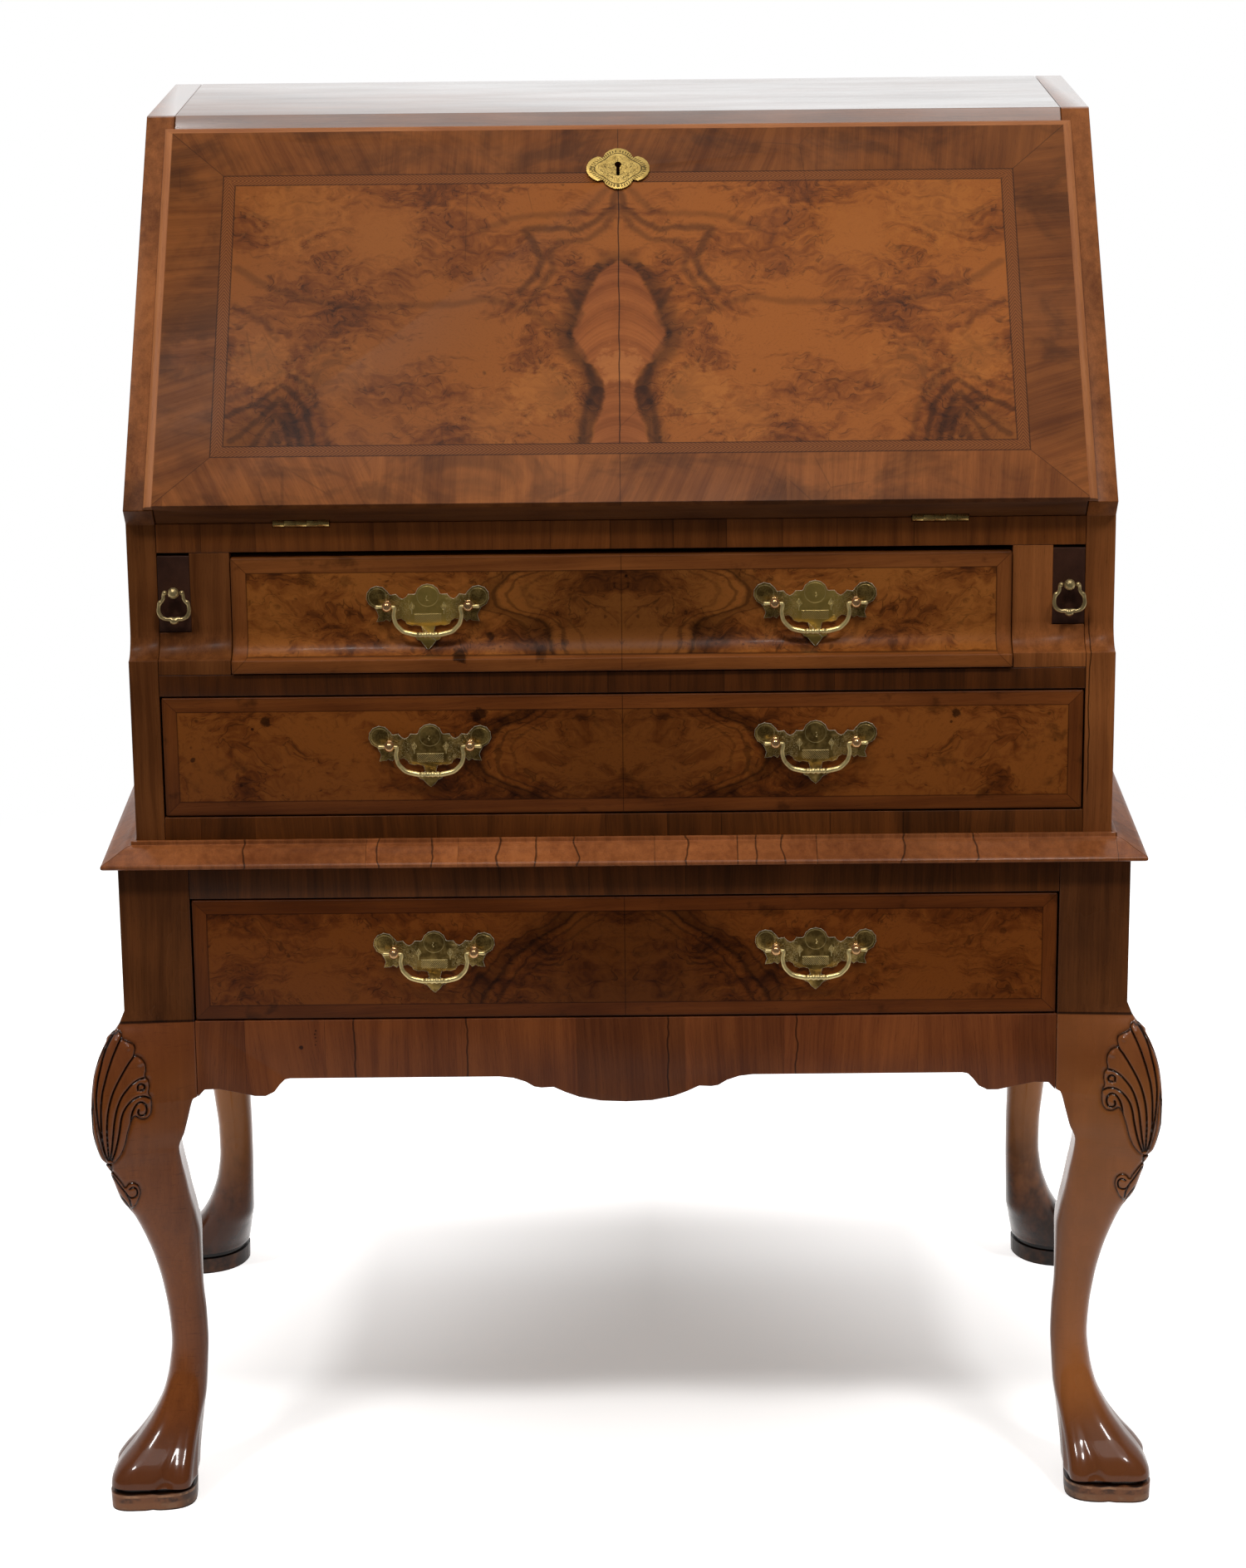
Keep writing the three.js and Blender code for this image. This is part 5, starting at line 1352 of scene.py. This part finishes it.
def moulding_walnut():
    """The front moulding's short pieces, cracked across."""
    return crossbanded(
        "moulding_walnut", 74.0, srgb(113, 59, 28), srgb(171, 102, 56), "x", 2.0, 0.3, 0.28, 0.75,
        cracks=[-300.0, -192.8, -152.0, -98.0, -70.7, -38.0, 48.9, 105.0, 126.4, 220.0, 276.0],
        shades=[(-192.8, -152.0, 0.12), (-38.0, 48.9, 0.1), (220.0, 408.0, 0.14)],
    )


def case_upright():
    """The case's upright walnut: its stiles are darker on the left and cracked on the right."""
    g = Material("case_walnut_upright")
    x, y, z = g.place()
    colour, _ = grain(g, z, x, y, srgb(94, 50, 23), srgb(160, 96, 50))
    front = g.smooth(y, -214.0, -222.0)
    colour = g.darker(colour, front * g.smooth(x, 120.0, -120.0), 0.44)
    drift = g.sway((0.0, 0.0, z), 0.02, 7.0, 3.0)
    crack = g.line(x + drift, 366.0, 0.25, 0.45) * g.between(z, 596.0, 734.0, 6.0)
    colour = g.darker(colour, crack * front, 0.75)
    return g.surface(
        Base_Color=colour, Roughness=0.3, Specular_IOR_Level=0.06,
        Coat_Weight=g.smooth(z, 1098.6, 1099.4), Coat_Roughness=0.05, Coat_IOR=1.85,
    )


def top_walnut():
    """The top board, waxed so that it mirrors the room at a low angle."""
    g = Material("case_top_walnut")
    x, y, z = g.place()
    colour, _ = grain(g, x, y, z, srgb(78, 42, 20), srgb(138, 84, 46), 1.0, 4.0)
    wear = g.noise((x, y, z), (0.006, 0.03, 0.03), 4.0, 0.6)
    return g.surface(
        Base_Color=colour, Roughness=g.choose(wear, 0.12, 0.24), Specular_IOR_Level=0.4,
        Coat_Weight=g.smooth(wear, 0.3, 0.7, 1.0, 0.72), Coat_Roughness=0.04, Coat_IOR=1.85,
    )


# Pieces


def dress_wood():
    """The legs, and every wooden piece with its edges worn."""
    upright = case_upright()
    level = plain_walnut("case_walnut_level", "x", srgb(62, 32, 14), srgb(116, 66, 32), 1.0, 4.0)
    loper = plain_walnut("loper_walnut", "y", srgb(40, 22, 16), srgb(72, 44, 32), 0.7, 2.0)
    high = crossbanded("rail_high", 46.0, srgb(78, 40, 14), srgb(142, 79, 33))
    middle = crossbanded("rail_middle", 46.0, srgb(52, 26, 8), srgb(98, 51, 18), seed=3.0)
    low = crossbanded("rail_low", 46.0, srgb(60, 31, 9), srgb(114, 61, 22), seed=6.0)
    rail = crossbanded("stand_rail", 70.0, srgb(58, 30, 9), srgb(110, 59, 22), seed=9.0)
    apron = stand_crossband()
    moulding_side = crossbanded(
        "moulding_side_walnut", 74.0, srgb(112, 60, 30), srgb(162, 98, 55), "y", 3.0, 0.12, 0.28
    )
    old_pine = pine("old_pine")
    pieces = [
        ("fall_front", 0.7, fall_veneer()), ("case_top", 0.8, top_walnut()),
        ("case_bottom", 0.5, low), ("dust_board", 0.5, middle), ("writing_deck", 0.5, high),
        ("case_back", 0.5, pine("pine_boards", 172.0)), ("stand_back", 0.5, old_pine),
        ("moulding_front", 0.2, moulding_walnut()), ("stand_apron_front", 0.6, apron),
        ("stand_top_rail", 0.5, rail), ("pigeonhole_unit", 0.4, level),
    ]
    for number in range(1, 5):
        pieces.append((f"interior_drawer_{number}", 0.5, level))
    for seed, row in enumerate(ROWS, 1):
        pieces.append(("drawer_front_" + row, 1.1, drawer_veneer(row, float(seed))))
        pieces.append(("drawer_box_" + row, 0.4, old_pine))
    for side in ("left", "right"):
        pieces += [
            ("case_side_" + side, 0.8, upright), ("loper_housing_" + side, 0.5, upright),
            ("loper_" + side, 0.6, loper), ("stand_side_" + side, 0.6, apron),
            ("stand_runner_" + side, 0.4, old_pine), ("moulding_" + side, 0.2, moulding_side),
        ]
    for node, width, material in pieces:
        softened(node, width, material)
    legs = leg_walnut()
    for end in ("front", "back"):
        for side in ("left", "right"):
            carved_leg(end, side, legs)


def dress_metal():
    """The pulls with their post heads, the lopers' drops, the hinges, the escutcheon and lock."""
    plain = brass("old_brass")
    worn = brass("worn_brass", 0.27, srgb(240, 216, 150), 0.72)
    drop = brass("drop_brass", 0.3, srgb(198, 174, 122), 0.8)
    # Pale brass with little metal on the plates' bevelled rims: a painted highlight
    rim = brass("rim_highlight_brass", 0.35, srgb(252, 242, 212), 0.15)
    copper = brass("post_brass", 0.16, srgb(228, 178, 124), 0.85)
    engraved = engraved_brass()
    dull = iron("old_iron")
    for side, hand in (("left", -1), ("right", 1)):
        for row in ROWS:
            softened(f"pull_plate_{row}_{side}", 0.75, engraved, rim)
            pins = joint_place[f"bail_{row}_{side}_swing"]
            turned_handle(f"bail_{row}_{side}", BAIL, POST_AWAY, 1.6, pins, worn)
            for which, step in (("inner", -hand), ("outer", hand)):
                centre = pins + (step * POST_AWAY, PIN_REACH, 0.0)
                post_head(f"post_head_{row}_{side}_{which}", centre, "drawer_" + row, copper)
        softened("loper_pull_" + side, 0.2, drop)
        pin = joint_place[f"loper_ring_{side}_swing"]
        turned_handle("loper_ring_" + side, DROP, 12.0, 1.5, pin, drop, 14)
        for leaf in ("case", "fall"):
            softened(f"hinge_{side}_{leaf}_leaf", 0.15, plain)
    softened("fall_escutcheon", 0.7, engraved_escutcheon(), worn)
    softened("fall_lock_case", 0.4, dull)
    softened("fall_lock_bolt", 0.3, dull)


studio()
floor()
camera()
dress_wood()
dress_metal()
scene = bpy.context.scene
scene.view_settings.view_transform = "Standard"
